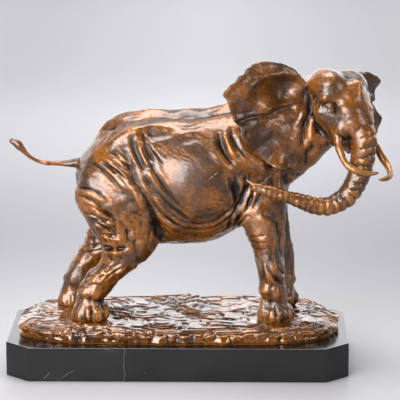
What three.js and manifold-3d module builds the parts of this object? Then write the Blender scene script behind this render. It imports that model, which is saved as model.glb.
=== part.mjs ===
// A bronze African elephant striding on a rocky bronze ground, fixed on a black marble plinth.
// Millimetres, +Z up. The elephant faces +X with its right side towards -Y, and it turns its head to
// its right. The origin is the centre of the plinth's underside.
import * as THREE from "three";
import Module from "manifold-3d";

const wasm = await Module();
wasm.setup();

// ---- driving dimensions ----
const PLINTH = { long: 300, wide: 150, high: 30, corner: 20, arris: 1.2 };
const BED = 0.3; // clearance between the bronze's flat underside and the marble
const GROUND = { halfLong: 141, halfWide: 63.5, high: 13.5, squareness: 3.4, embed: 3 };
const GROUND_TOP = PLINTH.high + GROUND.high;
const SPINE_Y = 6; // the body's middle plane lies a little behind the plinth's
const NEAR_Y = -20; // right feet
const FAR_Y = 33; // left feet
const HEAD = { x: 133, y: -10, z: 232, turn: 50 }; // skull centre, and degrees turned to the right
const TAU = Math.PI * 2;

const vec = (x, y, z) => new THREE.Vector3(x, y, z);
const FORWARD = vec(1, 0, 0);
const SIDEWAYS = vec(0, 1, 0);
const UPWARD = vec(0, 0, 1);

// The head's own frame: forward, out to the elephant's right, and height above the skull centre.
const headTurn = THREE.MathUtils.degToRad(HEAD.turn);
const headForward = vec(Math.cos(headTurn), -Math.sin(headTurn), 0);
const headRight = vec(-Math.sin(headTurn), -Math.cos(headTurn), 0);
function onHead(forward, right, up) {
  return vec(HEAD.x, HEAD.y, HEAD.z + up)
    .addScaledVector(headForward, forward)
    .addScaledVector(headRight, right);
}

// ---- closed surfaces ----
// A solid from an indexed triangle list.
function solidFrom(points, triangles) {
  const vertProperties = new Float32Array(points.flatMap((p) => [p.x, p.y, p.z]));
  const mesh = new wasm.Mesh({ numProp: 3, vertProperties, triVerts: new Uint32Array(triangles.flat()) });
  return new wasm.Manifold(mesh);
}

// Joins rings of equal count into a closed skin, with a point at each end.
function skinRings(rings, startPoint, endPoint) {
  const sides = rings[0].length;
  const points = [...rings.flat(), startPoint, endPoint];
  const start = rings.length * sides;
  const triangles = [];
  for (let i = 0; i + 1 < rings.length; i++) {
    for (let j = 0; j < sides; j++) {
      const next = (j + 1) % sides;
      const [a, b, c, d] = [i * sides + j, i * sides + next, (i + 1) * sides + next, (i + 1) * sides + j];
      triangles.push([a, b, c], [a, c, d]);
    }
  }
  for (let j = 0; j < sides; j++) {
    const next = (j + 1) % sides;
    triangles.push([start, next, j]);
    triangles.push([start + 1, start - sides + j, start - sides + next]);
  }
  const solid = solidFrom(points, triangles);
  if (solid.volume() > 0) return solid;
  return solidFrom(points, triangles.map(([a, b, c]) => [a, c, b]));
}

// Carries an oval section along a smooth path. Each station is {at, wide, high, low, square}: the half
// width along the side axis, the half heights above and below the path, and the superellipse power.
// The rings stand square to the path, or all face one way where facing is given.
function loft(stations, { steps, sides, side = SIDEWAYS, facing = null }) {
  const path = new THREE.CatmullRomCurve3(stations.map((s) => s.at), false, "centripetal");
  const sizes = ["wide", "high", "low", "square"].map((key) => {
    const values = stations.map((s) => s[key] ?? { high: s.wide, low: s.high ?? s.wide, square: 2 }[key]);
    return new THREE.SplineCurve(values.map((v, i) => new THREE.Vector2(i, v)));
  });
  const rings = [];
  for (let i = 0; i <= steps; i++) {
    const t = i / steps;
    const centre = path.getPoint(t);
    const along = facing ?? path.getTangent(t);
    const across = side.clone().addScaledVector(along, -side.dot(along)).normalize();
    const upward = across.clone().cross(along).negate();
    const [wide, high, low, square] = sizes.map((s) => s.getPoint(t).y);
    const ring = [];
    for (let j = 0; j < sides; j++) {
      const angle = (j / sides) * TAU;
      const [c, s] = [Math.cos(angle), Math.sin(angle)];
      const power = 2 / square;
      const out = wide * Math.sign(c) * Math.abs(c) ** power;
      const lift = (s > 0 ? high : low) * Math.sign(s) * Math.abs(s) ** power;
      ring.push(centre.clone().addScaledVector(across, out).addScaledVector(upward, lift));
    }
    rings.push(ring);
  }
  return skinRings(rings, path.getPoint(0), path.getPoint(1));
}

// An ellipsoid, its axes along forward, side and up, that swells a muscle or a bone.
function lump(at, forward, across, up, turn = 0, tip = 0, sides = 10, rows = 6) {
  const position = new THREE.SphereGeometry(1, sides, rows).attributes.position;
  const rings = [];
  for (let row = 1; row < rows; row++) {
    const first = row * (sides + 1);
    const corner = (_, j) => vec(0, 0, 0).fromBufferAttribute(position, first + j);
    rings.push(Array.from({ length: sides }, corner));
  }
  const place = new THREE.Matrix4()
    .compose(at, new THREE.Quaternion().setFromEuler(new THREE.Euler(0, tip, turn, "ZYX")), vec(1, 1, 1))
    .multiply(new THREE.Matrix4().makeScale(forward, across, up))
    .multiply(new THREE.Matrix4().makeRotationX(Math.PI / 2));
  const ends = [vec(0, 1, 0), vec(0, -1, 0)].map((p) => p.applyMatrix4(place));
  return skinRings(rings.map((ring) => ring.map((p) => p.applyMatrix4(place))), ends[0], ends[1]);
}

// ---- marble plinth ----
function plinthOutline(inset) {
  const [x, y] = [PLINTH.long / 2 - inset, PLINTH.wide / 2 - inset];
  const cut = PLINTH.corner - inset * (2 - Math.SQRT2);
  const corners = [[x, y - cut], [x - cut, y], [-x + cut, y], [-x, y - cut]];
  return [...corners, ...corners.map(([cx, cy]) => [-cx, -cy])];
}
function marblePlinth() {
  const levels = [
    [PLINTH.arris, 0],
    [0, PLINTH.arris],
    [0, PLINTH.high - PLINTH.arris],
    [PLINTH.arris, PLINTH.high],
  ];
  const rings = levels.map(([inset, z]) => plinthOutline(inset).map(([x, y]) => vec(x, y, z)));
  return skinRings(rings, vec(0, 0, 0), vec(0, 0, PLINTH.high));
}

// ---- rocky ground ----
// A rounded oblong with a wandering edge, a rounded rim and a lumpy top that dips round each foot.
function groundHeight(x, y) {
  const waves = 0.9 * Math.sin(x * 0.055 + 1) * Math.cos(y * 0.07) + 0.6 * Math.sin(x * 0.13 + y * 0.09);
  return GROUND_TOP - 0.8 + waves;
}
function groundReach(angle) {
  const power = 2 / GROUND.squareness;
  const [c, s] = [Math.cos(angle), Math.sin(angle)];
  const wander = 1 + 0.008 * Math.sin(5 * angle + 1) + 0.006 * Math.sin(9 * angle);
  return [
    GROUND.halfLong * wander * Math.sign(c) * Math.abs(c) ** power,
    GROUND.halfWide * wander * Math.sign(s) * Math.abs(s) ** power,
  ];
}
function rockyGround() {
  const sides = 48;
  const base = PLINTH.high + BED;
  const levels = [
    [0.955, 0], [0.99, 0.3], [1, 0.55], [0.985, 0.82], [0.95, 0.97], [0.82, 1], [0.55, 1], [0.25, 1],
  ];
  const rings = levels.map(([reach, lift]) =>
    Array.from({ length: sides }, (_, j) => {
      const [x, y] = groundReach((j / sides) * TAU).map((v) => v * reach);
      return vec(x, y, base + (groundHeight(x, y) - base) * lift);
    }),
  );
  return skinRings(rings, vec(0, 0, base), vec(0, 0, groundHeight(0, 0)));
}

// ---- body ----
// Upright ovals across the body. The rump climbs from the tail, and the belly line drops from the buttocks,
// each as a power of a quarter sine; the back then eases up to the withers and the belly up to the chest.
const BODY = {
  rear: -92, front: 98, tailRoot: 174, back: 224, withers: 235, buttocks: 158, belly: 106, chest: 150,
  rump: { long: 56, power: 0.85 }, flank: { long: 60, power: 0.8 },
  shoulders: [10, 75], brisket: [15, 110], halfWide: 48, fullness: 2.6, square: 2.1, steps: 22, sides: 22,
};
function quarterSine(x, { long, power }) {
  const share = THREE.MathUtils.clamp((x - BODY.rear) / long, 0, 1);
  return Math.sin((Math.PI / 2) * share) ** power;
}
function bodySection(x) {
  const climb = (BODY.withers - BODY.back) * THREE.MathUtils.smoothstep(x, ...BODY.shoulders);
  const top = THREE.MathUtils.lerp(BODY.tailRoot, BODY.back, quarterSine(x, BODY.rump)) + climb;
  const lift = (BODY.chest - BODY.belly) * THREE.MathUtils.smoothstep(x, ...BODY.brisket);
  const under = THREE.MathUtils.lerp(BODY.buttocks, BODY.belly, quarterSine(x, BODY.flank)) + lift;
  const middle = (BODY.rear + BODY.front) / 2;
  const off = Math.abs((x - middle) / (BODY.front - middle));
  const wide = BODY.halfWide * Math.sqrt(1 - off ** BODY.fullness);
  const half = (top - under) / 2;
  return { at: vec(x, SPINE_Y, under + half), wide, high: half, low: half, square: BODY.square };
}
function body() {
  const inset = 1;
  const stations = Array.from({ length: BODY.steps + 1 }, (_, i) => {
    const share = (1 - Math.cos((Math.PI * i) / BODY.steps)) / 2; // closer together at the two ends
    return bodySection(THREE.MathUtils.lerp(BODY.rear + inset, BODY.front - inset, share));
  });
  return loft(stations, { steps: BODY.steps, sides: BODY.sides, facing: FORWARD });
}
// The neck is one deep oval that narrows and leans towards the turned head.
const NECK = {
  from: vec(62, SPINE_Y, 182), to: vec(136, -10, 221), wide: [29, 16], high: [47, 24], narrowing: 1.8,
  steps: 8, sides: 18,
};
function neck() {
  const stations = Array.from({ length: NECK.steps + 1 }, (_, i) => {
    const share = i / NECK.steps;
    const at = NECK.from.clone().lerp(NECK.to, share);
    const narrowing = share ** NECK.narrowing;
    const [wide, high] = [NECK.wide, NECK.high].map(([a, b]) => THREE.MathUtils.lerp(a, b, narrowing));
    return { at, wide, high };
  });
  return loft(stations, { steps: NECK.steps, sides: NECK.sides, facing: FORWARD });
}

// ---- legs ----
const SOLE = GROUND_TOP - GROUND.embed;
const SHIN = GROUND_TOP + 35; // below this a leg stands upright, above it the leg leans in to the body
const HOOF_BAND = 8; // the foot keeps its size for this height above the sole
// Level ovals from the sole up through the joints. A joint is height, place, half depth, half width.
const LEGS = [
  { footY: NEAR_Y, hipY: SPINE_Y - 22, foot: [-79, 16, 15], toes: [-78, 15, 14, -0.5], joints: {
    ankle: [63, -77, 12.5, 12], hock: [82, -64, 17, 13], shin: [103, -44, 22, 15], knee: [124, -46, 31, 18],
    thigh: [150, -57, 34, 21], hip: [178, -64, 20, 12] } },
  { footY: FAR_Y, hipY: SPINE_Y + 22, foot: [-97, 14.5, 14], toes: [-97, 13.5, 13, -0.4], joints: {
    ankle: [63, -93, 12.5, 12], hock: [84, -81, 16, 13], shin: [104, -63, 22, 15], knee: [126, -53, 29, 19],
    thigh: [152, -59, 32, 21], hip: [178, -64, 19, 12] } },
  { footY: NEAR_Y, hipY: SPINE_Y - 20, foot: [85, 15.5, 14], toes: [84.5, 14.5, 13, -0.5], joints: {
    ankle: [62, 84, 12, 11.5], shin: [84, 82, 12, 12], knee: [108, 79, 14, 13], arm: [138, 73, 22, 16],
    shoulder: [178, 75, 21, 12] } },
  { footY: FAR_Y, hipY: SPINE_Y + 20, foot: [92, 14.5, 13.5], toes: [92, 13.5, 12.5, -0.3], joints: {
    ankle: [62, 92, 12, 11.5], shin: [86, 92, 12.5, 12], knee: [108, 87, 14, 13], arm: [138, 76, 21, 16],
    shoulder: [178, 75, 21, 12] } },
];
function leg({ footY, hipY, foot, joints }) {
  const rows = [[SOLE, ...foot], [SOLE + HOOF_BAND, ...foot], ...Object.values(joints)];
  const topZ = rows.at(-1)[0];
  const stations = rows.map(([z, x, deep, wide]) => {
    const climb = THREE.MathUtils.smoothstep(z, SHIN, topZ);
    return { at: vec(x, THREE.MathUtils.lerp(footY, hipY, climb), z), wide, high: deep };
  });
  return loft(stations, { steps: 15, sides: 14, facing: UPWARD });
}
// Toenails stand round the front of each sole.
const TOENAIL = { high: 3.5, spread: [-56, -20, 18, 56], half: [2.6, 3.2, 3.8] };
function toenails({ footY, toes: [x, deepReach, outReach, facing] }) {
  return TOENAIL.spread.map((degrees) => {
    const angle = facing + THREE.MathUtils.degToRad(degrees);
    const [ahead, out] = [deepReach * Math.cos(angle), outReach * Math.sin(angle)];
    return lump(vec(x + ahead, footY + out, GROUND_TOP + TOENAIL.high), ...TOENAIL.half, angle, 0, 8, 4);
  });
}

// ---- head ----
// The skull leans a little to its left, so what sits on its right side stands higher.
const HEAD_LEAN = 0.14;
function head() {
  // Level rings from the jaw to the crown: height, rear, front and half width in the head's own frame.
  const levels = [
    [-34, 8, 22, 6], [-25, -6, 30, 13], [-12, -22, 33, 20], [3, -26, 33, 23], [18, -24, 27, 22],
    [27, -18, 20, 18], [31, -9, 12, 11],
  ];
  const stations = levels.map(([up, rear, front, wide]) => ({
    at: onHead((rear + front) / 2, 0, up), wide, high: (front - rear) / 2,
  }));
  return loft(stations, { steps: 12, sides: 18, side: headRight, facing: UPWARD });
}
function headLumps() {
  const pair = (forward, out, up, ...size) =>
    [1, -1].map((hand) => lump(onHead(forward, out * hand, up + HEAD_LEAN * out * hand), ...size, -headTurn));
  return [
    ...pair(10, 13.5, 19, 19, 14.5, 14.5), // crown domes
    ...pair(24, 18, 11, 6, 9, 4), // brows
    ...pair(-8, 16, -9, 20, 9, 13), // cheeks
    ...pair(30, 9, -8, 10, 9, 16), // flanks of the trunk's root
    ...pair(28, 14.5, -16, 11, 6.5, 8), // tusk sockets
    lump(onHead(20, 0, -33), 10, 5.5, 4.5, -headTurn, 0.35), // lower lip
  ];
}

// ---- turning parts: trunk, tusks and tail ----
// A path that turns as it goes: at each share of its length it climbs at a pitch and heads along a yaw, both
// in degrees and in straight lines between the bends, and its place is the sum of its small steps.
function turningPath(start, length, bends, steps) {
  const bendAt = (share, column) => {
    const next = Math.max(1, bends.findIndex(([s]) => s >= share));
    const [before, after] = [bends[next - 1], bends[next]];
    const mix = (share - before[0]) / (after[0] - before[0]);
    return THREE.MathUtils.degToRad(THREE.MathUtils.lerp(before[column], after[column], mix));
  };
  const points = [start.clone()];
  for (let i = 0; i < steps; i++) {
    const share = (i + 0.5) / steps;
    const [pitch, yaw] = [bendAt(share, 1), bendAt(share, 2)];
    const along = vec(Math.cos(pitch) * Math.cos(yaw), -Math.cos(pitch) * Math.sin(yaw), Math.sin(pitch));
    points.push(points[i].clone().addScaledVector(along, length / steps));
  }
  return points;
}
// The trunk leaves the forehead, hangs, and curls back to the right across the forelegs. Past straight down
// the pitch goes on beyond -90 degrees, which carries it backwards.
const TRUNK = {
  start: onHead(16, 0, 22), length: 192, steps: 26, tip: 3.2, taper: 10.2, power: 0.75,
  root: { swell: 0.5, share: 0.14, spread: 0.12 }, // as broad as the face where it starts
  bends: [[0, -47, 50], [0.18, -60, 50], [0.3, -88, 50], [0.38, -99, -8], [0.5, -118, -8],
    [0.72, -198, -8], [1, -198, 2]],
};
function trunk() {
  const path = turningPath(TRUNK.start, TRUNK.length, TRUNK.bends, TRUNK.steps);
  const stations = path.map((at, i) => {
    const share = i / TRUNK.steps;
    const high = TRUNK.tip + TRUNK.taper * (1 - share) ** TRUNK.power;
    const broad = TRUNK.root.swell * Math.exp(-(((share - TRUNK.root.share) / TRUNK.root.spread) ** 2));
    return { at, wide: high * (1 + broad), high };
  });
  return loft(stations, { steps: TRUNK.steps, sides: 12, side: headRight });
}
// A tusk drops forward out of its socket and swings across in front of the trunk. Its yaw is counted from
// the way the head faces, outwards first.
const TUSK = { length: { 1: 67, [-1]: 79 }, thick: 3.5, tip: 0.6, steps: 14 };
const TUSK_BENDS = { 1: [[0, -66, 30], [0.4, -58, 12], [0.7, -18, -40], [1, 6, -76]],
  [-1]: [[0, -56, 30], [0.45, -50, 12], [0.75, -16, -50], [1, 10, -100]] };
function tusk(hand) {
  const bends = TUSK_BENDS[hand].map(([share, pitch, yaw]) => [share, pitch, HEAD.turn + yaw * hand]);
  const start = onHead(24, 14 * hand, -12);
  const path = turningPath(start, TUSK.length[hand], bends, TUSK.steps);
  const thickness = (share) => TUSK.tip + (TUSK.thick - TUSK.tip) * Math.sqrt(1 - share ** 3);
  const stations = path.map((at, i) => ({ at, wide: thickness(i / TUSK.steps) }));
  return loft(stations, { steps: TUSK.steps, sides: 8, side: UPWARD });
}
// The tail sweeps back and up and ends in a tuft.
const TAIL = {
  start: vec(-84, SPINE_Y, 178), length: 73, steps: 18, root: 6, thin: 2, tip: 1.4, flare: 0.16,
  tuft: { swell: 2.2, share: 0.88, spread: 0.09 },
  bends: [[0, -2, 180], [0.4, 2, 177], [0.6, 24, 177], [0.75, 52, 177], [0.85, 45, 180], [1, 10, 180]],
};
function tail() {
  const path = turningPath(TAIL.start, TAIL.length, TAIL.bends, TAIL.steps);
  const stations = path.map((at, i) => {
    const share = i / TAIL.steps;
    const tuft = TAIL.tuft.swell * Math.exp(-(((share - TAIL.tuft.share) / TAIL.tuft.spread) ** 2));
    const wide = TAIL.thin + (TAIL.root - TAIL.thin) * Math.exp(-share / TAIL.flare) + tuft;
    return { at, wide: share === 1 ? TAIL.tip : wide };
  });
  return loft(stations, { steps: TAIL.steps, sides: 8 });
}

// ---- ears ----
// An ear is a thin curved leaf on the side of the skull. Its edge is a superellipse that slants (below and
// above its middle) and tapers with height: middle and halfHigh set its heights above the skull centre,
// centre and half its reach out from the root. bells are bites into the outer rim, or points that stand out
// of it where deep is negative. sweep is how far it lies back, and bow how far the rim comes forward again.
const EAR_NEAR = {
  hand: 1, sweep: 25, bow: 16, middle: -5, halfHigh: 48, centre: 40, half: 37, taper: 0.2,
  slant: { below: 20, above: 2 },
  bells: [
    { angle: -8, width: 9, deep: 4 }, // notch between the lobes
    { angle: 31, width: 11, deep: -6.5 }, // outer corner
    { angle: 58, width: 18, deep: 6 }, // straight stretch up to the top
  ],
};
const EAR_FAR = {
  hand: -1, sweep: 22, bow: 4, middle: -13, halfHigh: 38, centre: 34, half: 35, taper: -0.06,
  slant: { below: -3, above: -3 },
  bells: [{ angle: 10, width: 14, deep: 8 }],
};
const EAR_SQUARE = 2.3;
const EAR_SPAN = [158, -152]; // the edge runs from the front top round the outer rim to the lower lobe
const EAR_ROOT = { top: 22, bottom: -18.4, rear: -5.5, out: 18 };
const EAR_THICK = { root: 5, rim: 2.2 };
function earEdge(ear, degrees) {
  const angle = THREE.MathUtils.degToRad(degrees);
  const squared = (v) => Math.sign(v) * Math.abs(v) ** (2 / EAR_SQUARE);
  const [c, s] = [squared(Math.cos(angle)), squared(Math.sin(angle))];
  const bellAt = ({ angle: at, width, deep }) => deep * Math.exp(-(((degrees - at) / width) ** 2));
  const bite = ear.bells.reduce((sum, bell) => sum + bellAt(bell), 0);
  const slant = (s < 0 ? ear.slant.below : ear.slant.above) * s;
  const out = ear.centre + slant + (ear.half - bite) * (1 + ear.taper * s) * c;
  return new THREE.Vector2(out, ear.middle + ear.halfHigh * s);
}
function ear(shape) {
  const { hand, sweep, bow } = shape;
  const angle = THREE.MathUtils.degToRad(sweep);
  const hinge = onHead(EAR_ROOT.rear, EAR_ROOT.out * hand, 0);
  const outward = headRight.clone().multiplyScalar(hand * Math.cos(angle));
  outward.addScaledVector(headForward, -Math.sin(angle));
  const frontward = headForward.clone().multiplyScalar(Math.cos(angle));
  frontward.addScaledVector(headRight, hand * Math.sin(angle));
  const span = shape.centre + shape.half;
  const columns = 24;
  const reaches = [0, 0.35, 0.7, 0.9, 1];
  // Each column of the leaf is one closed ring: out along the front and home along the back.
  const rings = Array.from({ length: columns + 1 }, (_, j) => {
    const v = j / columns;
    const root = new THREE.Vector2(0, THREE.MathUtils.lerp(EAR_ROOT.top, EAR_ROOT.bottom, v));
    const edge = earEdge(shape, THREE.MathUtils.lerp(...EAR_SPAN, v));
    const faces = [1, -1].map((face) =>
      reaches.map((reach) => {
        const flat = root.clone().lerp(edge, reach);
        const hollow = 6 * Math.sin(Math.PI * reach);
        const thick = THREE.MathUtils.lerp(EAR_THICK.root, EAR_THICK.rim, reach);
        const depth = bow * (flat.x / span) ** 2 - hollow + (thick / 2) * face;
        return hinge.clone().addScaledVector(outward, flat.x).addScaledVector(frontward, depth)
          .addScaledVector(UPWARD, flat.y);
      }),
    );
    return [...faces[0], ...faces[1].reverse()];
  });
  const middle = (ring) => ring.reduce((sum, p) => sum.add(p), vec(0, 0, 0)).divideScalar(ring.length);
  return skinRings(rings, middle(rings[0]), middle(rings.at(-1)));
}

// ---- the casting ----
function bronzeElephant() {
  const solids = [
    rockyGround(),
    body(),
    neck(),
    ...LEGS.map(leg),
    ...LEGS.flatMap(toenails),
    head(),
    ...headLumps(),
    trunk(),
    tusk(1),
    tusk(-1),
    ear(EAR_NEAR),
    ear(EAR_FAR),
    tail(),
  ];
  return solids.reduce((whole, next) => whole.add(next));
}

// ---- scene graph ----
function meshOf(name, solid, material) {
  const { vertProperties, triVerts, numProp } = solid.getMesh();
  const geometry = new THREE.BufferGeometry();
  const positions = new THREE.InterleavedBuffer(vertProperties, numProp);
  geometry.setAttribute("position", new THREE.InterleavedBufferAttribute(positions, 3, 0));
  geometry.setIndex(new THREE.BufferAttribute(triVerts, 1));
  const mesh = new THREE.Mesh(geometry, material);
  mesh.name = name;
  return mesh;
}

const bronze = new THREE.MeshStandardMaterial({ color: 0x6b4423, roughness: 0.38, metalness: 0.9 });
const marble = new THREE.MeshStandardMaterial({ color: 0x17171a, roughness: 0.15, metalness: 0 });

const sculpture = new THREE.Group();
sculpture.name = "elephant_sculpture";
sculpture.add(meshOf("elephant", bronzeElephant(), bronze));
sculpture.add(meshOf("plinth", marblePlinth(), marble));

export default sculpture;
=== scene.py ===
import math
import bpy
import numpy as np
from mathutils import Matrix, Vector


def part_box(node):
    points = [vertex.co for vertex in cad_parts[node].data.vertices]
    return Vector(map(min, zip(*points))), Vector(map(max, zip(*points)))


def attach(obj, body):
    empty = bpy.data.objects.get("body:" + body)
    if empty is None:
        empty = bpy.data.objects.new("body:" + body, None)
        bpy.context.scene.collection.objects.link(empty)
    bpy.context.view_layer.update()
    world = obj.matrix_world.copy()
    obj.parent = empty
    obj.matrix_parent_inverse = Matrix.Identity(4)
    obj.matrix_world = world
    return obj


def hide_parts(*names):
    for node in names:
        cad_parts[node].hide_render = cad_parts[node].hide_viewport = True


# Bronze elephant on a rocky ground and a black marble plinth. Sculpting is done in millimetres,
# +X the way the elephant walks, -Y its right side, +Z up; meshes are written in metres.
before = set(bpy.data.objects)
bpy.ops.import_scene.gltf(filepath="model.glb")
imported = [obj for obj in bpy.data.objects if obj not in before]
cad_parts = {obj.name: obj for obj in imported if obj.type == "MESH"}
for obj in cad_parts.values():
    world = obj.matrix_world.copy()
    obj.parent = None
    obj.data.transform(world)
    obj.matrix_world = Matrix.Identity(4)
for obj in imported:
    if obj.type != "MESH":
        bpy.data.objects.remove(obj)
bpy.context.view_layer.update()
mm = 0.001
plinthLow, plinthHigh = (np.array(corner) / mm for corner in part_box("plinth"))
marbleTop = plinthHigh[2]
groundThick = 13.5
groundTop = marbleTop + groundThick
spineY = 6.0  # the spine runs a little behind the plinth's middle; the feet stand at nearY and farY
nearY, farY = -20.0, 33.0


# curves, grids and meshes
def smooth(x, low, high):
    # cubic ease: 0 below low, 1 above high, 3t^2 - 2t^3 between
    t = np.clip((x - low) / (high - low), 0, 1)
    return t * t * (3 - 2 * t)


def bump(x, width):
    # bell: e to the minus (x / width) squared
    return np.exp(-((x / width) ** 2))


def through(points, count):
    # Catmull-Rom curve: each span is the cubic that leaves and meets its ends along their neighbours' chord
    p = np.asarray(points, float)
    p = np.vstack([2 * p[:1] - p[1:2], p, 2 * p[-1:] - p[-2:-1]])
    spans = len(p) - 3
    t = np.linspace(0, spans, count)
    i = np.minimum(t.astype(int), spans - 1)
    f = (t - i)[:, None]
    a, b, c, d = p[i], p[i + 1], p[i + 2], p[i + 3]
    return 0.5 * (2 * b + (c - a) * f + (2 * a - 5 * b + 4 * c - d) * f**2 + (3 * b - a - 3 * c + d) * f**3)


def unit(v):
    return v / np.maximum(np.linalg.norm(v, axis=-1, keepdims=True), 1e-9)


def skin(rings, ends=None):
    # rings[i, j] is point j of ring i; quads join ring to ring and a fan closes each end
    rows, sides = rings.shape[:2]
    ends = np.array([rings[0].mean(0), rings[-1].mean(0)]) if ends is None else np.asarray(ends, float)
    points = np.vstack([rings.reshape(-1, 3), ends])
    i, j = np.meshgrid(np.arange(rows - 1), np.arange(sides), indexing="ij")
    k = (j + 1) % sides
    corners = [i * sides + j, i * sides + k, (i + 1) * sides + k, (i + 1) * sides + j]
    quads = np.stack(corners, -1).reshape(-1, 4)
    j = np.arange(sides)
    k = (j + 1) % sides
    start, last = rows * sides, (rows - 1) * sides
    first = np.stack([np.full(sides, start), k, j], -1)
    final = np.stack([np.full(sides, start + 1), last + j, last + k], -1)
    return points, [quads.tolist(), first.tolist(), final.tolist()]


def loft(path, wide, high, low, square=2.0, sides=64, side=(0, 1, 0), facing=None):
    # superellipse sections along a path: out = wide cos^(2/n), up = high or low sin^(2/n)
    along = unit(np.gradient(path, axis=0))
    if facing is not None:
        along = np.tile(unit(np.array(facing, float)), (len(path), 1))
    side = np.asarray(side, float)
    across = unit(side - along * (along @ side)[:, None])
    upward = -np.cross(across, along)
    angle = np.linspace(0, 2 * np.pi, sides, endpoint=False)
    c, s = np.cos(angle), np.sin(angle)
    power = (2 / np.broadcast_to(square, len(path)))[:, None]
    out = wide[:, None] * np.sign(c) * np.abs(c) ** power
    lift = np.where(s > 0, high[:, None], low[:, None]) * np.sign(s) * np.abs(s) ** power
    rings = path[:, None] + across[:, None] * out[..., None] + upward[:, None] * lift[..., None]
    return skin(rings, [path[0], path[-1]])


def lump(at, half, turn=0.0, tip=0.0, sides=40, rows=24):
    # ellipsoid: x = a sin p cos q, y = b sin p sin q, z = c cos p, tipped then turned about Z
    p = np.linspace(0, np.pi, rows + 2)[1:-1, None]
    q = np.linspace(0, 2 * np.pi, sides, endpoint=False)[None]
    ball = np.stack([np.sin(p) * np.cos(q), np.sin(p) * np.sin(q), np.cos(p) + 0 * q], -1)
    ball = ball * np.asarray(half, float)
    poles = np.array([[0, 0, half[2]], [0, 0, -half[2]]], float)
    ct, st, cp, sp = math.cos(turn), math.sin(turn), math.cos(tip), math.sin(tip)
    turned = np.array([[ct, -st, 0], [st, ct, 0], [0, 0, 1]])
    spin = turned @ np.array([[cp, 0, sp], [0, 1, 0], [-sp, 0, cp]])
    return skin(ball @ spin.T + np.asarray(at, float), poles @ spin.T + np.asarray(at, float))


def meshFrom(name, parts):
    # several closed skins in one mesh, in metres
    points, faces, offset = [], [], 0
    for partPoints, lists in parts:
        points.append(partPoints)
        for rows in lists:
            faces += [[v + offset for v in row] for row in rows]
        offset += len(partPoints)
    mesh = bpy.data.meshes.new(name)
    mesh.from_pydata((np.vstack(points) * mm).tolist(), [], faces)
    mesh.update()
    return mesh


def place(name, mesh):
    piece = bpy.data.objects.new(name, mesh)
    bpy.context.scene.collection.objects.link(piece)
    return piece


def applied(piece):
    # the mesh with every modifier applied, on the same object
    graph = bpy.context.evaluated_depsgraph_get()
    done = bpy.data.meshes.new_from_object(piece.evaluated_get(graph))
    old = piece.data
    piece.modifiers.clear()
    piece.data = done
    bpy.data.meshes.remove(old)
    return piece


def fuse(piece, voxel):
    step = piece.modifiers.new("fuse", "REMESH")
    step.mode = "VOXEL"
    step.voxel_size = voxel * mm
    step.use_smooth_shade = True
    return applied(piece)


def thin(piece, triangles):
    counts = np.empty(len(piece.data.polygons), np.int32)
    piece.data.polygons.foreach_get("loop_total", counts)
    have = int((counts - 2).sum())
    if have > triangles:
        step = piece.modifiers.new("thin", "DECIMATE")
        step.ratio = triangles / have
        applied(piece)
    return piece


def coordsOf(mesh):
    co = np.empty(len(mesh.vertices) * 3, np.float32)
    mesh.vertices.foreach_get("co", co)
    return co.reshape(-1, 3).astype(float) / mm


def normalsOf(mesh):
    n = np.empty(len(mesh.vertices) * 3, np.float32)
    mesh.vertex_normals.foreach_get("vector", n)
    return n.reshape(-1, 3).astype(float)


def setCoords(mesh, points):
    mesh.vertices.foreach_set("co", (points * mm).astype(np.float32).ravel())
    mesh.update()


def edgesOf(mesh):
    e = np.empty(len(mesh.edges) * 2, np.int32)
    mesh.edges.foreach_get("vertices", e)
    return e.reshape(-1, 2)


def averaged(values, edges, rounds):
    # each round moves every value half of the way to the mean of its neighbours
    a, b = edges[:, 0], edges[:, 1]
    count = len(values)
    degree = np.bincount(a, minlength=count) + np.bincount(b, minlength=count)
    degree = np.maximum(degree, 1)
    flat = values.ndim == 1
    v = values[:, None] if flat else values
    for _ in range(rounds):
        sums = [
            np.bincount(a, weights=column[b], minlength=count)
            + np.bincount(b, weights=column[a], minlength=count) for column in v.T
        ]
        v = v + 0.5 * (np.stack(sums, -1) / degree[:, None] - v)
    return v[:, 0] if flat else v


cells = 32
latticeStart = 100.0
lattice = np.random.default_rng(7).uniform(-1, 1, (cells, cells, cells))


def noise(points, size, shift=0.0):
    # value noise: random lattice values eased together across cells of the given size
    q = points / size + shift + latticeStart
    i = np.floor(q).astype(int)
    f = q - i
    f = f * f * (3 - 2 * f)
    i %= cells
    k = (i + 1) % cells
    total = 0
    for ax, wx in ((i[:, 0], 1 - f[:, 0]), (k[:, 0], f[:, 0])):
        for ay, wy in ((i[:, 1], 1 - f[:, 1]), (k[:, 1], f[:, 1])):
            below, above = lattice[ax, ay, i[:, 2]], lattice[ax, ay, k[:, 2]]
            total = total + wx * wy * (below * (1 - f[:, 2]) + above * f[:, 2])
    return total


# the head's own directions
headAt = np.array([133.0, -10.0, 232.0])
headTurn = math.radians(50)
headLean = 0.14
headForward = np.array([math.cos(headTurn), -math.sin(headTurn), 0])
headRight = np.array([-math.sin(headTurn), -math.cos(headTurn), 0])


def onHead(forward, right, up):
    forward, right, up = np.broadcast_arrays(*(np.asarray(v, float) for v in (forward, right, up)))
    lift = np.stack([0 * up, 0 * up, up], -1)
    return headAt + forward[..., None] * headForward + right[..., None] * headRight + lift


def onSkull(forward, right, up):
    # the skull leans a little to its left, so its right side stands higher
    return onHead(forward, right, np.asarray(up, float) + headLean * np.asarray(right, float))


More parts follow.
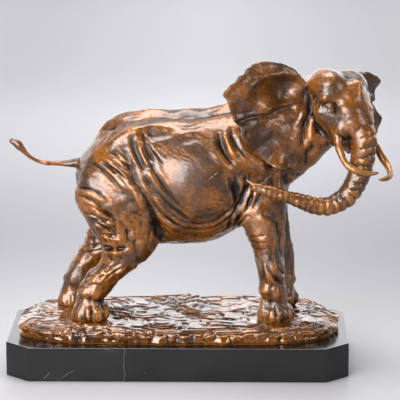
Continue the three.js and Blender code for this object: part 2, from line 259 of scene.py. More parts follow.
def turningPath(start, length, bends, count):
    # at each share of its length the path climbs at a pitch and heads along a yaw (degrees, straight lines
    # between the bends); its place is the running sum of its small steps
    share = (np.arange(count - 1) + 0.5) / (count - 1)
    knots = np.array(bends, float)
    pitch, yaw = (np.radians(np.interp(share, knots[:, 0], knots[:, k])) for k in (1, 2))
    along = np.stack([np.cos(pitch) * np.cos(yaw), -np.cos(pitch) * np.sin(yaw), np.sin(pitch)], -1)
    return np.vstack([[0, 0, 0], np.cumsum(along * length / (count - 1), axis=0)]) + np.asarray(start, float)


# body, neck and legs: the big masses
body = {
    "rear": -92, "front": 98, "tailRoot": 174, "back": 224, "withers": 235, "buttocks": 158, "belly": 106,
    "chest": 150, "rump": (56, 0.85), "flank": (60, 0.8), "shoulders": (10, 75), "brisket": (15, 110),
    "halfWide": 48, "fullness": 2.6, "steps": 90, "sides": 96,
}


def bodyMass():
    # upright ovals: the rump climbs and the belly line drops as powers of a quarter sine, then the back
    # eases up to the withers and the belly to the chest; half width = sqrt(1 - |off centre|^fullness)
    turn = np.linspace(0, np.pi, body["steps"])
    x = body["rear"] + 1 + (body["front"] - body["rear"] - 2) * (1 - np.cos(turn)) / 2

    def quarterSine(long, power):
        return np.sin(np.pi / 2 * np.clip((x - body["rear"]) / long, 0, 1)) ** power
    top = body["tailRoot"] + (body["back"] - body["tailRoot"]) * quarterSine(*body["rump"])
    top = top + (body["withers"] - body["back"]) * smooth(x, *body["shoulders"])
    under = body["buttocks"] + (body["belly"] - body["buttocks"]) * quarterSine(*body["flank"])
    under = under + (body["chest"] - body["belly"]) * smooth(x, *body["brisket"])
    middle = (body["rear"] + body["front"]) / 2
    off = np.abs((x - middle) / (body["front"] - middle))
    wide = body["halfWide"] * np.sqrt(1 - off ** body["fullness"])
    path = np.stack([x, 0 * x + spineY, (top + under) / 2], -1)
    half = (top - under) / 2
    return loft(path, wide, half, half, 2.1, body["sides"], facing=(1, 0, 0))


neck = {"from": (60, 6, 181), "to": (137, -10, 221), "wide": (27.5, 12), "high": (48, 23), "narrowing": 1.8}


def neckMass():
    # one deep oval carried from the shoulders to the skull, shrinking as a power of the way along
    share = np.linspace(0, 1, 40)
    path = np.array(neck["from"]) + share[:, None] * (np.array(neck["to"]) - np.array(neck["from"], float))
    less = share ** neck["narrowing"]
    wide, high = (neck[key][0] + less * (neck[key][1] - neck[key][0]) for key in ("wide", "high"))
    return loft(path, wide, high, high, sides=72, facing=(1, 0, 0))


legs = {  # a joint is height, place along the body, half depth and half width
    "hindNear": {"footY": nearY, "hipY": spineY - 22, "foot": (-79, 16, 15), "joints": {
        "ankle": (63, -77, 12.5, 12), "hock": (82, -64, 17, 13), "shin": (103, -44, 22, 15),
        "knee": (124, -46, 31, 18), "thigh": (150, -57, 34, 21), "hip": (178, -64, 20, 12)}},
    "hindFar": {"footY": farY, "hipY": spineY + 22, "foot": (-97, 14.5, 14), "joints": {
        "ankle": (63, -93, 12.5, 12), "hock": (84, -81, 16, 13), "shin": (104, -63, 22, 15),
        "knee": (126, -53, 29, 19), "thigh": (152, -59, 32, 21), "hip": (178, -64, 19, 12)}},
    "foreNear": {"footY": nearY, "hipY": spineY - 20, "foot": (85, 15.5, 14), "joints": {
        "ankle": (62, 84, 12, 11.5), "shin": (84, 82, 12, 12), "knee": (108, 79, 14, 13),
        "arm": (138, 73, 22, 16), "shoulder": (178, 75, 21, 12)}},
    "foreFar": {"footY": farY, "hipY": spineY + 20, "foot": (92, 14.5, 13.5), "joints": {
        "ankle": (62, 92, 12, 11.5), "shin": (86, 92, 12.5, 12), "knee": (108, 87, 14, 13),
        "arm": (138, 76, 21, 16), "shoulder": (178, 75, 21, 12)}},
}


stance = {"sunk": 3, "footHigh": 8, "uprightTo": 35}


def legMass(leg):
    # level ovals through the joints, upright up to the shin and leaning in to the hip above it
    sole = groundTop - stance["sunk"]
    foot = [(sole, *leg["foot"]), (sole + stance["footHigh"], *leg["foot"])]
    z, x, deep, wide = through([*foot, *leg["joints"].values()], 70).T
    lean = smooth(z, groundTop + stance["uprightTo"], z[-1])
    path = np.stack([x, leg["footY"] + (leg["hipY"] - leg["footY"]) * lean, z], -1)
    return loft(path, wide, deep, deep, sides=64, facing=(0, 0, 1))


# head
skull = [  # height, rear, front, half width, squareness
    (-34, 8, 22, 6, 2), (-25, -8, 31, 13.5, 2.2), (-14, -24, 34, 20.5, 2.7), (2, -31, 34, 25, 3),
    (17, -28, 27, 23.5, 2.5), (26, -20, 22, 20, 2.1), (31, -9, 12, 11, 2),
]


def headMass():
    # level superellipses stacked up the skull, run smoothly through its rows
    up, rear, front, wide, square = through(skull, 60).T
    path = onHead((rear + front) / 2, 0, up)
    return loft(path, wide, (front - rear) / 2, (front - rear) / 2, square, 96, headRight, facing=(0, 0, 1))


def headLumps():
    def pair(forward, out, up, half, turn=0.0, tip=0.0):
        spots = [(hand, onSkull(forward, out * hand, up)) for hand in (1, -1)]
        return [lump(spot, half, -headTurn - turn * hand, tip) for hand, spot in spots]
    return [
        *pair(10, 13.4, 19.5, (19, 15, 15)),  # crown domes
        *pair(23, 20, 10.5, (5.8, 10, 4), 0.6),  # brows
        *pair(-8, 17.5, -9, (21, 9, 13)),  # cheeks
        *pair(30, 9, -8, (10, 9, 16), 0.2),  # flanks of the trunk's root
        lump(onSkull(26, 0, 9), (10, 8, 23), -headTurn, 0.5),  # ridge from the crown down to the trunk
        *pair(28, 14.5, -16, (11, 6.5, 8)),  # tusk sockets
        *pair(27, 7.5, -19, (8, 8, 10)),  # lips beside the trunk
        lump(onHead(20, 0, -33), (10, 5.5, 4.5), -headTurn, 0.35),  # lower lip
    ]


trunk = {  # bends: share of the length, pitch, yaw; past straight down the pitch goes on and carries it back
    "start": (16, 0, 22), "length": 192, "tip": 3.2, "taper": 10.2, "power": 0.75,
    "slimmer": (0.22, 0.12, 0.3), "rootSwell": (0.55, 0.14, 0.12), "coarser": 6, "bareFrom": 60,
    "bends": [(0, -47, 50), (0.18, -60, 50), (0.3, -88, 50), (0.38, -99, -8), (0.5, -118, -8),
              (0.72, -198, -8), (1, -198, 2)],
    "steps": 520, "sides": 72,
}


def trunkLine():
    path = turningPath(onHead(*trunk["start"]), trunk["length"], trunk["bends"], trunk["steps"])
    share = np.linspace(0, 1, trunk["steps"])
    size = trunk["tip"] + trunk["taper"] * (1 - share) ** trunk["power"]
    return path, size, size


def trunkMass():
    # slimmer than the trunk itself, to leave room for the rings' grooves, but as broad as the face above
    path, wide, deep = trunkLine()
    share = np.linspace(0, 1, len(path))
    less, low, high = trunk["slimmer"]
    slim = 1 - less * smooth(share, low, high)
    more, at, spread = trunk["rootSwell"]
    root = 1 + more * bump(share - at, spread)
    wide, deep = wide * slim * root, deep * slim
    every = trunk["coarser"]
    return loft(path[::every], wide[::every], deep[::every], deep[::every], sides=48, side=headRight)


# camera
camera = {
    "yawDegrees": -0.9, "pitchDegrees": 12, "lens": 213, "sensor": 36, "aim": (19, 0, 146), "away": 2100,
    "farthestMetres": 20,
}


def makeCamera():
    data = bpy.data.cameras.new("camera")
    data.lens = camera["lens"]
    data.sensor_width = camera["sensor"]
    data.clip_end = camera["farthestMetres"]
    eye = place("camera", data)
    yaw, pitch = math.radians(camera["yawDegrees"]), math.radians(camera["pitchDegrees"])
    ahead = Vector((math.sin(yaw) * math.cos(pitch), math.cos(yaw) * math.cos(pitch), -math.sin(pitch)))
    eye.location = (Vector(camera["aim"]) - ahead * camera["away"]) * mm
    eye.rotation_euler = ahead.to_track_quat("-Z", "Y").to_euler()
    bpy.context.scene.camera = eye


makeCamera()


# lines drawn on the surface
def nearLine(points, line):
    # distance from each point to a smooth line, the side of it (+1 left, -1 right) and the share along it
    line = np.asarray(line, float)
    dense = through(line, max(12, 8 * len(line)))
    start, step = dense[:-1], np.diff(dense, axis=0)
    length = np.maximum((step**2).sum(1), 1e-9)
    away = points[:, None] - start[None]
    t = np.clip((away * step).sum(-1) / length, 0, 1)
    off = away - t[..., None] * step
    gap = (off**2).sum(-1)
    best = gap.argmin(1)
    row = np.arange(len(points))
    side = np.sign(step[best, 0] * off[row, best, 1] - step[best, 1] * off[row, best, 0])
    return np.sqrt(gap[row, best]), side, (best + t[row, best]) / len(step)


def stroke(points, line, width, height, kind="ridge", fade=0.25):
    # one modelling stroke in a plane, tapering to nothing at its ends:
    # ridge = bell; groove = minus bell with a low swell each side; lap = a lip that drops away on the left
    line = np.asarray(line, float)
    reach = 4 * width
    low, high = line.min(0) - reach, line.max(0) + reach
    near = np.flatnonzero(((points >= low) & (points <= high)).all(1))
    out = np.zeros(len(points))
    for block in np.array_split(near, max(1, len(near) // 40000)):
        if len(block) == 0:
            continue
        gap, side, along = nearLine(points[block], line)
        ends = smooth(along, -0.02, fade) * smooth(1 - along, -0.02, fade)
        if kind == "ridge":
            shape = bump(gap, width)
        elif kind == "groove":
            shape = -bump(gap, width) + 0.4 * bump(gap - 2 * width, width)
        else:
            across = gap * side
            shape = np.where(across < 0, bump(across, 2.2 * width), bump(across, 0.55 * width))
            shape = shape - 0.7 * bump(across - 1.1 * width, 0.7 * width)
        out[block] = height * ends * shape
    return out


# ears
earNear = {  # heights are above the skull centre, reaches are out from the hinge, angles go round the edge
    "hand": 1, "sweep": 25, "bow": 16, "middle": -5, "halfHigh": 48, "centre": 40, "slant": (20, 2),
    "half": 37, "taper": 0.2, "notch": (-8, 9, 4), "corner": (31, 11, 6.5), "flat": (58, 18, 6),
    "hollow": (25, 15, 16, 13, 8.5), "lap": (-4, 40, 80), "seed": 3.3,
}
earFar = {
    "hand": -1, "sweep": 22, "bow": 4, "middle": -13, "halfHigh": 38, "centre": 34, "slant": (-3, -3),
    "half": 35, "taper": -0.06, "notch": (10, 14, 8), "corner": (40, 12, 0), "flat": (60, 18, 0),
    "hollow": (24, 6, 14, 10, 6), "lap": (-6, 30, 62), "seed": 9.1,
}
earShape = {
    "columns": 260, "reaches": 110, "rootBehind": 5.5, "rootOut": 18, "rootHigh": 22, "rootLow": -14,
    "thickRoot": 5.5, "thickRim": 1.9, "square": 2.3, "span": (158, -152), "ruffle": 1.3, "rimNoise": 0.7,
    "rimBead": 0.9,
    "roll": (6, 30, 17, 4.2, 0.24),  # beyond the opening's middle, half length, half height, proud, width
    "lip": (9, 0.16, 15, 2.6, 2.4),  # below the opening's middle, slope, slope counted from, proud, width
    "lipHollow": (5, 2.2, 3),  # under the lip, depth, width
    "lapWave": (2.5, 11, 0.06), "lapProud": (2.6, 18), "lapGroove": (1.2, 2, 1.8),
    "fanFrom": (16, 14), "fanRates": (4.2, 9), "fanHigh": 3.1, "fanReach": (24, 58),
    "hingeGroove": (4, 9, 1.5), "skin": (0.8, 9, 0.15, 3.6),
}


def earEdge(ear, degrees):
    # a superellipse that slants (below, above its middle) and tapers with height; bells give it an outer
    # corner, a flatter stretch above that and a notch below; three sines scallop the rim
    def squared(v):
        return np.sign(v) * np.abs(v) ** (2 / earShape["square"])
    c, s = squared(np.cos(np.radians(degrees))), squared(np.sin(np.radians(degrees)))
    bite = sum(sign * ear[key][2] * bump(degrees - ear[key][0], ear[key][1])
               for key, sign in (("notch", 1), ("corner", -1), ("flat", 1)))
    below, above = ear["slant"]
    shift = below * np.minimum(s, 0) + above * np.maximum(s, 0)
    t = np.radians(degrees) + ear["seed"]
    scallop = 0.9 * np.sin(9 * t) + 0.7 * np.sin(17 * t + 1) + 0.4 * np.sin(29 * t)
    outer = smooth(np.cos(np.radians(degrees)), -0.5, 0.3)
    out = ear["centre"] + shift + (ear["half"] - bite + scallop * outer) * (1 + ear["taper"] * s) * c
    return np.stack([out, ear["middle"] + ear["halfHigh"] * s], -1)


def earFrame(ear):
    # hinge on the side of the skull, the way out along the leaf, and the way its front faces
    hand, angle = ear["hand"], math.radians(ear["sweep"])
    hinge = onHead(-earShape["rootBehind"], earShape["rootOut"] * hand, 0)
    outward = headRight * hand * math.cos(angle) - headForward * math.sin(angle)
    front = headForward * math.cos(angle) + headRight * hand * math.sin(angle)
    return hinge, outward, front


def earDepth(ear, flat):
    # how far the leaf stands forward at each place (out, up): a bow that grows with the square of the
    # distance out, less a bell-shaped hollow at the opening, then the roll, the lip, the lap and the fan
    u, v = flat[:, 0], flat[:, 1]
    span = ear["centre"] + ear["half"]
    cu, cv, wu, wv, deep = ear["hollow"]
    depth = ear["bow"] * (u / span) ** 2 - deep * np.exp(-(((u - cu) / wu) ** 2) - ((v - cv) / wv) ** 2)
    # the thick roll over the top: a bell across an oval ring, in its upper half only
    beyond, halfLong, halfHigh, proud, width = earShape["roll"]
    roll = np.hypot((u - cu - beyond) / halfLong, (v - cv) / halfHigh) - 1
    depth = depth + proud * bump(roll, width) * smooth(v - cv, -6, 8)
    # the lip of cartilage that comes out of the opening, with a hollow under it
    below, slope, start, proud, width = earShape["lip"]
    lip = v - (cv - below - slope * (u - start))
    under, hollow, hollowWidth = earShape["lipHollow"]
    shape = proud * bump(lip, width) - hollow * bump(lip + under, hollowWidth)
    depth = depth + shape * smooth(u, 12, 18) * smooth(50 - u, 0, 14)
    # the upper lobe laps over the lower one along a line that wanders outwards
    low, inner, outer = ear["lap"]
    wave, waveLong, fall = earShape["lapWave"]
    step = v - (low - wave * np.sin(u / waveLong) + fall * (inner - u))
    lapped = smooth(u, inner - 14, inner) * smooth(outer + 8 - u, 0, 12)
    proud, fade = earShape["lapProud"]
    groove, under, width = earShape["lapGroove"]
    edge = proud * smooth(step, -1.0, 0.6) * bump(step, fade) - groove * bump(step + under, width)
    depth = depth + lapped * edge
    # folds fan out from the opening: |sine| facets of the angle round it, deeper towards the rim
    behind, down = earShape["fanFrom"]
    fan = np.arctan2(v - cv + down, u - cu + behind)
    away = np.hypot(v - cv + down, u - cu + behind)
    place3 = np.stack([u, v, 0 * u + 9 * ear["hand"]], -1)
    wander = 0.5 * noise(place3, 16, ear["seed"])
    slow, quick = earShape["fanRates"]
    facets = np.abs(np.sin(slow * fan + wander + ear["seed"])) - 0.5
    facets = facets + 0.5 * (np.abs(np.sin(quick * fan - wander)) - 0.5)
    depth = depth + earShape["fanHigh"] * facets * smooth(away, *earShape["fanReach"])
    at, width, groove = earShape["hingeGroove"]
    depth = depth - groove * bump(u - at, width)
    high, size, fineHigh, fineSize = earShape["skin"]
    return depth + high * noise(place3, size, 3.3) + fineHigh * noise(place3, fineSize, 8.1)


def earLeaf(ear):
    # straight lines from the root to the rim, two faces of them, pinched to a thin round edge at the rim
    rim = earEdge(ear, np.linspace(*earShape["span"], earShape["columns"]))
    wobble = noise(np.stack([rim[:, 0], rim[:, 1], 0 * rim[:, 0]], -1), 4.5, 1.7)
    rim = rim + earShape["rimNoise"] * wobble[:, None] * unit(rim - rim.mean(0))
    rootUp = np.linspace(earShape["rootHigh"], earShape["rootLow"], len(rim))
    root = np.stack(np.broadcast_arrays(2, rootUp), -1)
    reach = np.linspace(0, 1, earShape["reaches"]) ** 0.8
    flat = root[:, None] + (rim - root)[:, None] * reach[None, :, None]
    depth = earDepth(ear, flat.reshape(-1, 2)).reshape(flat.shape[:2])
    turn = np.linspace(0, 2 * np.pi, earShape["columns"])
    ruffle = np.sin(5 * turn + ear["seed"]) + 0.6 * np.sin(11 * turn)
    depth = depth + earShape["ruffle"] * ruffle[:, None] * smooth(reach, 0.75, 1)[None]
    hinge, outward, front = earFrame(ear)
    thick = earShape["thickRoot"] + (earShape["thickRim"] - earShape["thickRoot"]) * smooth(reach, 0, 0.35)
    thick = thick + earShape["rimBead"] * bump(reach - 0.965, 0.025)
    half = (thick / 2)[None] * np.sqrt(np.clip(1 - smooth(reach, 0.97, 1.02) ** 2, 0.05, 1))[None]
    upward = flat[..., 1:] * np.array([0, 0, 1])
    outwards = hinge + flat[..., :1] * outward
    faces = [outwards + (depth + half * face)[..., None] * front + upward for face in (1, -1)]
    rings = np.concatenate([faces[0], faces[1][:, ::-1]], axis=1)
    return skin(rings if ear["hand"] > 0 else rings[:, ::-1])


# trunk with its rings, tusks, tail, toes, eyes
trunkRings = {
    "spacing": 8.2, "closer": 3.6, "bow": 0.55, "tilt": 0.22, "uneven": 0.22, "roundness": 2.5,
    "grooveWidth": 0.12, "band": 1.1, "groove": 1.7, "rootInset": 3, "rough": 0.35,
}


def ringedTrunk():
    # rings round the trunk: rounded bands with a narrow groove after each, closer together towards the tip;
    # on the upper trunk they cross only its front, bowing down at their ends
    path, wide, deep = trunkLine()
    step = np.linalg.norm(np.diff(path, axis=0), axis=1)
    s = np.concatenate([[0], np.cumsum(step)])
    spacing = trunkRings["spacing"] - trunkRings["closer"] * smooth(s, 40, trunk["length"])
    phase = np.cumsum(np.concatenate([[0], step]) / spacing)[:, None]
    angle = np.linspace(0, 2 * np.pi, trunk["sides"], endpoint=False)[None]
    shape = (len(s), trunk["sides"])
    lower = smooth(s, 85, 120)[:, None]
    ring3 = np.stack(np.broadcast_arrays(s[:, None], 9 * np.cos(angle), 9 * np.sin(angle)), -1).reshape(-1, 3)
    uneven = trunkRings["uneven"] * noise(ring3, 8, 2.0).reshape(shape)
    bow = trunkRings["bow"] * np.cos(angle) ** 2 * (1 - lower)
    turn = phase - bow + trunkRings["tilt"] * np.cos(angle) * lower + uneven
    saw = turn - np.floor(turn)
    band = 1 - np.abs(2 * saw - 1) ** trunkRings["roundness"]
    groove = bump(np.minimum(saw, 1 - saw), trunkRings["grooveWidth"])
    front = -np.sin(angle)
    share = smooth(front, 0.35, 0.8) * (1 - lower) + (0.45 + 0.55 * smooth(front, -0.9, 0.3)) * lower
    share = share * smooth(s, 18, 60)[:, None] * (1 - 0.35 * smooth(s, 150, trunk["length"])[:, None])
    share = share * (0.75 + 0.5 * noise(ring3, 13, 7.0).reshape(shape))
    share = share * (1 - 0.4 * smooth(s, 95, 125)[:, None])
    inset = trunkRings["rootInset"] * (1 - smooth(s, 26, 58))[:, None]
    lift = share * (trunkRings["band"] * band - trunkRings["groove"] * groove) - inset
    lift = lift + trunkRings["rough"] * noise(ring3, 5, 4.4).reshape(shape)
    return path, wide, deep, lift


def trunkSkin():
    # round sections swollen by the rings' lift, from a little way down the trunk to its tip
    path, wide, deep, lift = ringedTrunk()
    along = unit(np.gradient(path, axis=0))
    across = unit(headRight - along * (along @ headRight)[:, None])
    upward = -np.cross(across, along)
    angle = np.linspace(0, 2 * np.pi, trunk["sides"], endpoint=False)
    out = (wide[:, None] + lift) * np.cos(angle)
    up = (deep[:, None] + lift) * np.sin(angle)
    rings = path[:, None] + across[:, None] * out[..., None] + upward[:, None] * up[..., None]
    first = trunk["bareFrom"]
    return skin(rings[first:], [path[first], path[-1]])


fingers = {"long": {1: 11, -1: 8}, "setBack": 5, "apart": 1.4, "curl": 2.2, "size": 0.85, "flat": 0.8}


def trunkFingers():
    # two short lips at the trunk's tip, one above the other, each curving away as the square of its length
    path, size, _ = trunkLine()
    along = unit(path[-1] - path[-9])
    share = np.linspace(0, 1, 24)
    parts = []
    for hand, long in fingers["long"].items():
        rise = hand * (fingers["apart"] + fingers["curl"] * share**2)
        line = path[-1] + (share[:, None] * long - fingers["setBack"]) * along
        line = line + rise[:, None] * np.array([0, 0, 1])
        wide = size[-1] * fingers["size"] * np.sqrt(1 - 0.9 * share**2)
        parts.append(loft(line, wide, wide * fingers["flat"], wide * fingers["flat"], sides=24))
    return parts


tusk = {  # yaw is counted from the way the head faces, outwards first
    "length": {1: 67, -1: 79}, "thick": 3.5, "tip": 0.6, "root": (24, 14, -12), "steps": 90, "sides": 28,
    "collar": {"steps": 21, "size": 5.4, "narrowing": 1.2},
    1: [(0, -66, 30), (0.4, -58, 12), (0.7, -18, -40), (1, 6, -76)],
    -1: [(0, -56, 30), (0.45, -50, 12), (0.75, -16, -50), (1, 10, -100)],
}


def tuskPath(hand):
    bends = [(share, pitch, math.degrees(headTurn) + yaw * hand) for share, pitch, yaw in tusk[hand]]
    forward, out, up = tusk["root"]
    return turningPath(onHead(forward, out * hand, up), tusk["length"][hand], bends, tusk["steps"])


def tuskSkin(hand):
    # thickness falls as the square root of 1 - share cubed
    taper = np.sqrt(1 - np.linspace(0, 1, tusk["steps"]) ** 3)
    size = tusk["tip"] + (tusk["thick"] - tusk["tip"]) * taper
    return loft(tuskPath(hand), size, size, size, sides=tusk["sides"], side=(0, 0, 1))


tail = {
    "start": (-84, spineY, 178), "length": 73, "root": 6, "thin": 2, "flare": 0.16, "tuft": (2.1, 0.88, 0.09),
    "steps": 150, "knobs": (0.35, 3.4), "tipThinner": 0.75,
    "bends": [(0, -2, 180), (0.4, 2, 177), (0.6, 24, 177), (0.75, 52, 177), (0.85, 45, 180), (1, 10, 180)],
}


def tailSkin():
    # root and tuft are swellings on a thin cord: an exponential flare and a bell, the tuft knobbed by noise
    path = turningPath(tail["start"], tail["length"], tail["bends"], tail["steps"])
    share = np.linspace(0, 1, tail["steps"])
    knobs, knobSize = tail["knobs"]
    swell, at, spread = tail["tuft"]
    size = tail["thin"] + (tail["root"] - tail["thin"]) * np.exp(-share / tail["flare"])
    size = size + swell * bump(share - at, spread) * (1 + knobs * noise(path, knobSize, 5.0))
    size = size * (1 - tail["tipThinner"] * smooth(share, 0.975, 1))
    return loft(path, size, size, size, sides=32)


feet = {  # place along the body, across it, reach ahead, reach out, the way the toes face in radians
    "hindNear": (-78, nearY, 15.5, 14, -0.5), "hindFar": (-97, farY, 13.5, 13, -0.4),
    "foreNear": (84.5, nearY, 15, 13, -0.5), "foreFar": (92, farY, 14, 12.5, -0.3),
}
toe = {
    "degrees": (-64, -30, 4, 38), "nail": (2.0, 2.9, 3.2), "nailUp": 3.2,
    "knuckle": (3.6, 3.6, 6), "knuckleUp": 6.5, "knuckleIn": 2.6,
}


def toes(x, y, ahead, out, facing):
    # four nails round an oval foot, each with a knuckle above and a little inside it
    parts = []
    for degrees in toe["degrees"]:
        a = facing + math.radians(degrees)
        back = toe["knuckleIn"]
        nail = (x + ahead * math.cos(a), y + out * math.sin(a), groundTop + toe["nailUp"])
        inX, inY = x + (ahead - back) * math.cos(a), y + (out - back) * math.sin(a)
        knuckle = (inX, inY, groundTop + toe["knuckleUp"])
        for at, half in ((nail, toe["nail"]), (knuckle, toe["knuckle"])):
            parts.append(lump(at, half, a, sides=24, rows=14))
    return parts


# sculpting: folds, wrinkles and tool marks pushed along the surface
def fold(first, last, share, stray=0.0):
    # a line between two places that sags to one side: start + along * t + sag * sin(pi t) across;
    # stray moves its ends a little, by sines, so that neighbours differ
    ends = [(np.array(a, float), np.array(b, float)) for a, b in zip(first, last)]
    start, end, sag = ((1 - share) * a + share * b for a, b in ends)
    start = start + stray * np.array([math.sin(31 * share), math.cos(17 * share + 1)])
    end = end + stray * np.array([math.cos(23 * share + 2), math.sin(13 * share)])
    t = np.linspace(0, 1, 7)[:, None]
    along = end - start
    across = np.array([along[1], -along[0]]) / np.linalg.norm(along)
    return start + along * t + sag * np.sin(np.pi * t) * across


def single(start, end, sag, width, high):
    # a family of one line, raised or, with a negative height, sunk
    return (start, end, sag, start, end, sag, 1, width, high, "ridge", 0)


folds = {  # on each flank, (along, height, sag): first line, last line, how many, width, height, kind, stray
    "hipEdge": single((-68, 194), (6, 215), -9, 3.6, 3.2),
    "ribEdge": single((-14, 203), (34, 213), -3, 2.8, 1.5),
    "hipHollow": single((-40, 205), (14, 206), -3, 4.5, -1.8),
    "flank": ((-47, 208), (-6, 132), 8, (-34, 212), (12, 134), 6, 3, 3.0, 1.6, "groove", 3.0),
    "flankShort": ((-42, 210), (-22, 176), 4, (-30, 212), (-12, 184), 2, 4, 1.4, 1.1, "groove", 2.5),
    "lowFlank": ((-31, 164), (6, 122), 5, (-22, 164), (15, 126), 3, 2, 2.6, 1.3, "lap", 3.0),
    "thighRidge": single((-40, 170), (-20, 114), -2, 3.0, 2.4),
    "thighHollow": single((-31, 162), (-10, 112), 2, 4.8, -5.4),
    "thighMuscle": ((-52, 138), (-42, 106), -2, (-36, 132), (-34, 100), 2, 3, 2.2, 1.1, "groove", 2.0),
    "rumpTop": ((-78, 184), (-44, 158), -3, (-62, 194), (-40, 176), -2, 5, 1.5, 1.0, "groove", 3.0),
    "rumpSide": ((-92, 158), (-60, 152), -4, (-86, 138), (-56, 124), -4, 4, 1.6, 1.3, "lap", 2.5),
    "shoulder": ((32, 213), (50, 182), 2, (46, 217), (62, 184), 2, 4, 2.6, 1.8, "groove", 2.0),
    "shoulderLow": ((44, 176), (50, 148), -3, (62, 180), (56, 150), -3, 4, 1.8, 1.8, "groove", 2.0),
    "elbow": ((50, 130), (68, 172), -4, (60, 140), (80, 178), -3, 4, 2.2, 1.6, "groove", 2.5),
    "armpit": ((46, 122), (58, 150), -2, (52, 116), (62, 138), -2, 3, 1.7, 1.1, "lap", 2.0),
    "earGutter": single((107, 258), (105, 184), -2, 4.5, -5.5),
    "jaw": single((111, 247), (136, 203), 8, 2.6, -3.4),
    "neck": ((84, 196), (88, 152), 3, (124, 202), (109, 171), 4, 6, 3.2, 1.7, "groove", 3.0),
    "arm": ((72, 156), (90, 84), -7, (86, 142), (92, 98), -2, 3, 2.8, 1.1, "groove", 2.5),
    "armSag": ((76, 96), (94, 72), 3, (84, 98), (97, 78), 3, 2, 1.6, 1.3, "lap", 1.0),
    "hollowOfKnee": ((-74, 142), (-53, 132), -2, (-68, 104), (-44, 108), 2, 7, 1.8, 1.3, "lap", 3.5),
    "shank": ((-86, 76), (-58, 98), -2, (-70, 72), (-44, 94), -3, 4, 1.6, 1.2, "groove", 2.0),
    "scratch": single((24, 172), (36, 181), 0, 0.8, -1.0),
}
bulge = {
    "at": (19, 173), "half": (36, 42), "proud": 3.6, "crescents": (1.08, 1.22, 1.38), "width": 0.04,
    "waves": (0.03, 9, 5), "lip": 0.7, "groove": 1.1, "grooveIn": 0.06,
}
backbone = {
    "off": 2, "high": 2.8, "width": 6, "gutter": 1.3, "apart": 13, "knobs": 0.35, "knobLong": 5.5,
    "rough": 0.5,
}
toolMarks = [(12, 0.7, 2.2), (6, 0.5, 6.6), (2.8, 0.26, 1.1)]  # size, height, shift


leafZone = {"out": 100, "up": 60, "searched": 30, "thick": 7}


def onEar(points, ear):
    # 1 on the ear's leaf and 0 away from it, from the distance to the leaf's middle surface
    hinge, outward, front = earFrame(ear)
    away = points - hinge
    out, up, depth = away @ outward, away[:, 2], away @ front
    inside = smooth(out, 3, 9) * smooth(leafZone["out"] - out, 0, 4)
    inside = inside * smooth(leafZone["up"] - np.abs(up), 0, 4)
    near = np.flatnonzero((inside > 0) & (np.abs(depth) < leafZone["searched"]))
    gap = depth[near] - earDepth(ear, np.column_stack([out[near], up[near]]))
    leaf = np.zeros(len(points))
    leaf[near] = inside[near] * smooth(leafZone["thick"] - np.abs(gap), 0, 3)
    return leaf


def jointsOf(leg):
    # a row per joint: height, place along the body, half depth, half width
    return np.array(list(leg["joints"].values()), float)


def farShift(x, z):
    # the far legs stand elsewhere: how far each is behind its near twin at every height
    def between(near, far):
        near, far = jointsOf(legs[near]), jointsOf(legs[far])
        return np.interp(z, near[:, 0], near[:, 1]) - np.interp(z, far[:, 0], far[:, 1])
    return np.where(x < 10, between("hindNear", "hindFar"), between("foreNear", "foreFar"))


def flankPush(flat):
    # every fold of every family, then the belly's bulge and the crescents of skin hanging under it
    push = np.zeros(len(flat))
    for a, b, sagA, c, d, sagB, count, width, high, kind, stray in folds.values():
        for k in range(count):
            line = fold((a, b, sagA), (c, d, sagB), k / max(1, count - 1), stray)
            vary = 1 + 0.3 * math.sin(7.3 * k + high)
            push += stroke(flat, line, width * vary, high * vary, kind, 0.35)
    reach = np.hypot(*((flat - bulge["at"]) / bulge["half"]).T)
    push += bulge["proud"] * (1 - smooth(reach, 0.2, 1.05))
    downward = np.arctan2(bulge["at"][1] - flat[:, 1], flat[:, 0] - bulge["at"][0])
    low = smooth(np.sin(downward + 0.5), 0.1, 0.7)
    wave, waveLong, phase = bulge["waves"]
    for ring in bulge["crescents"]:
        wavy = reach - ring + wave * np.sin(flat[:, 1] / waveLong + phase * ring)
        uneven = 0.55 + 0.6 * noise(np.column_stack([flat, 0 * reach]), 14, 2.0 + ring)
        lip = bulge["lip"] * bump(wavy, bulge["width"])
        push += low * uneven * (lip - bulge["groove"] * bump(wavy + bulge["grooveIn"], bulge["width"]))
    return push


flankZone = {  # where folds show: facing aside, off the spine, behind the neck's front, outside the trunk
    "facing": (0.0, 0.4), "aside": (2, 8), "front": 139, "trunkOut": (41, 44), "trunkAhead": (60, 66),
}
backZone = {"upward": (0.45, 0.8), "rear": (-84, -62), "front": 84, "above": (196, 206)}


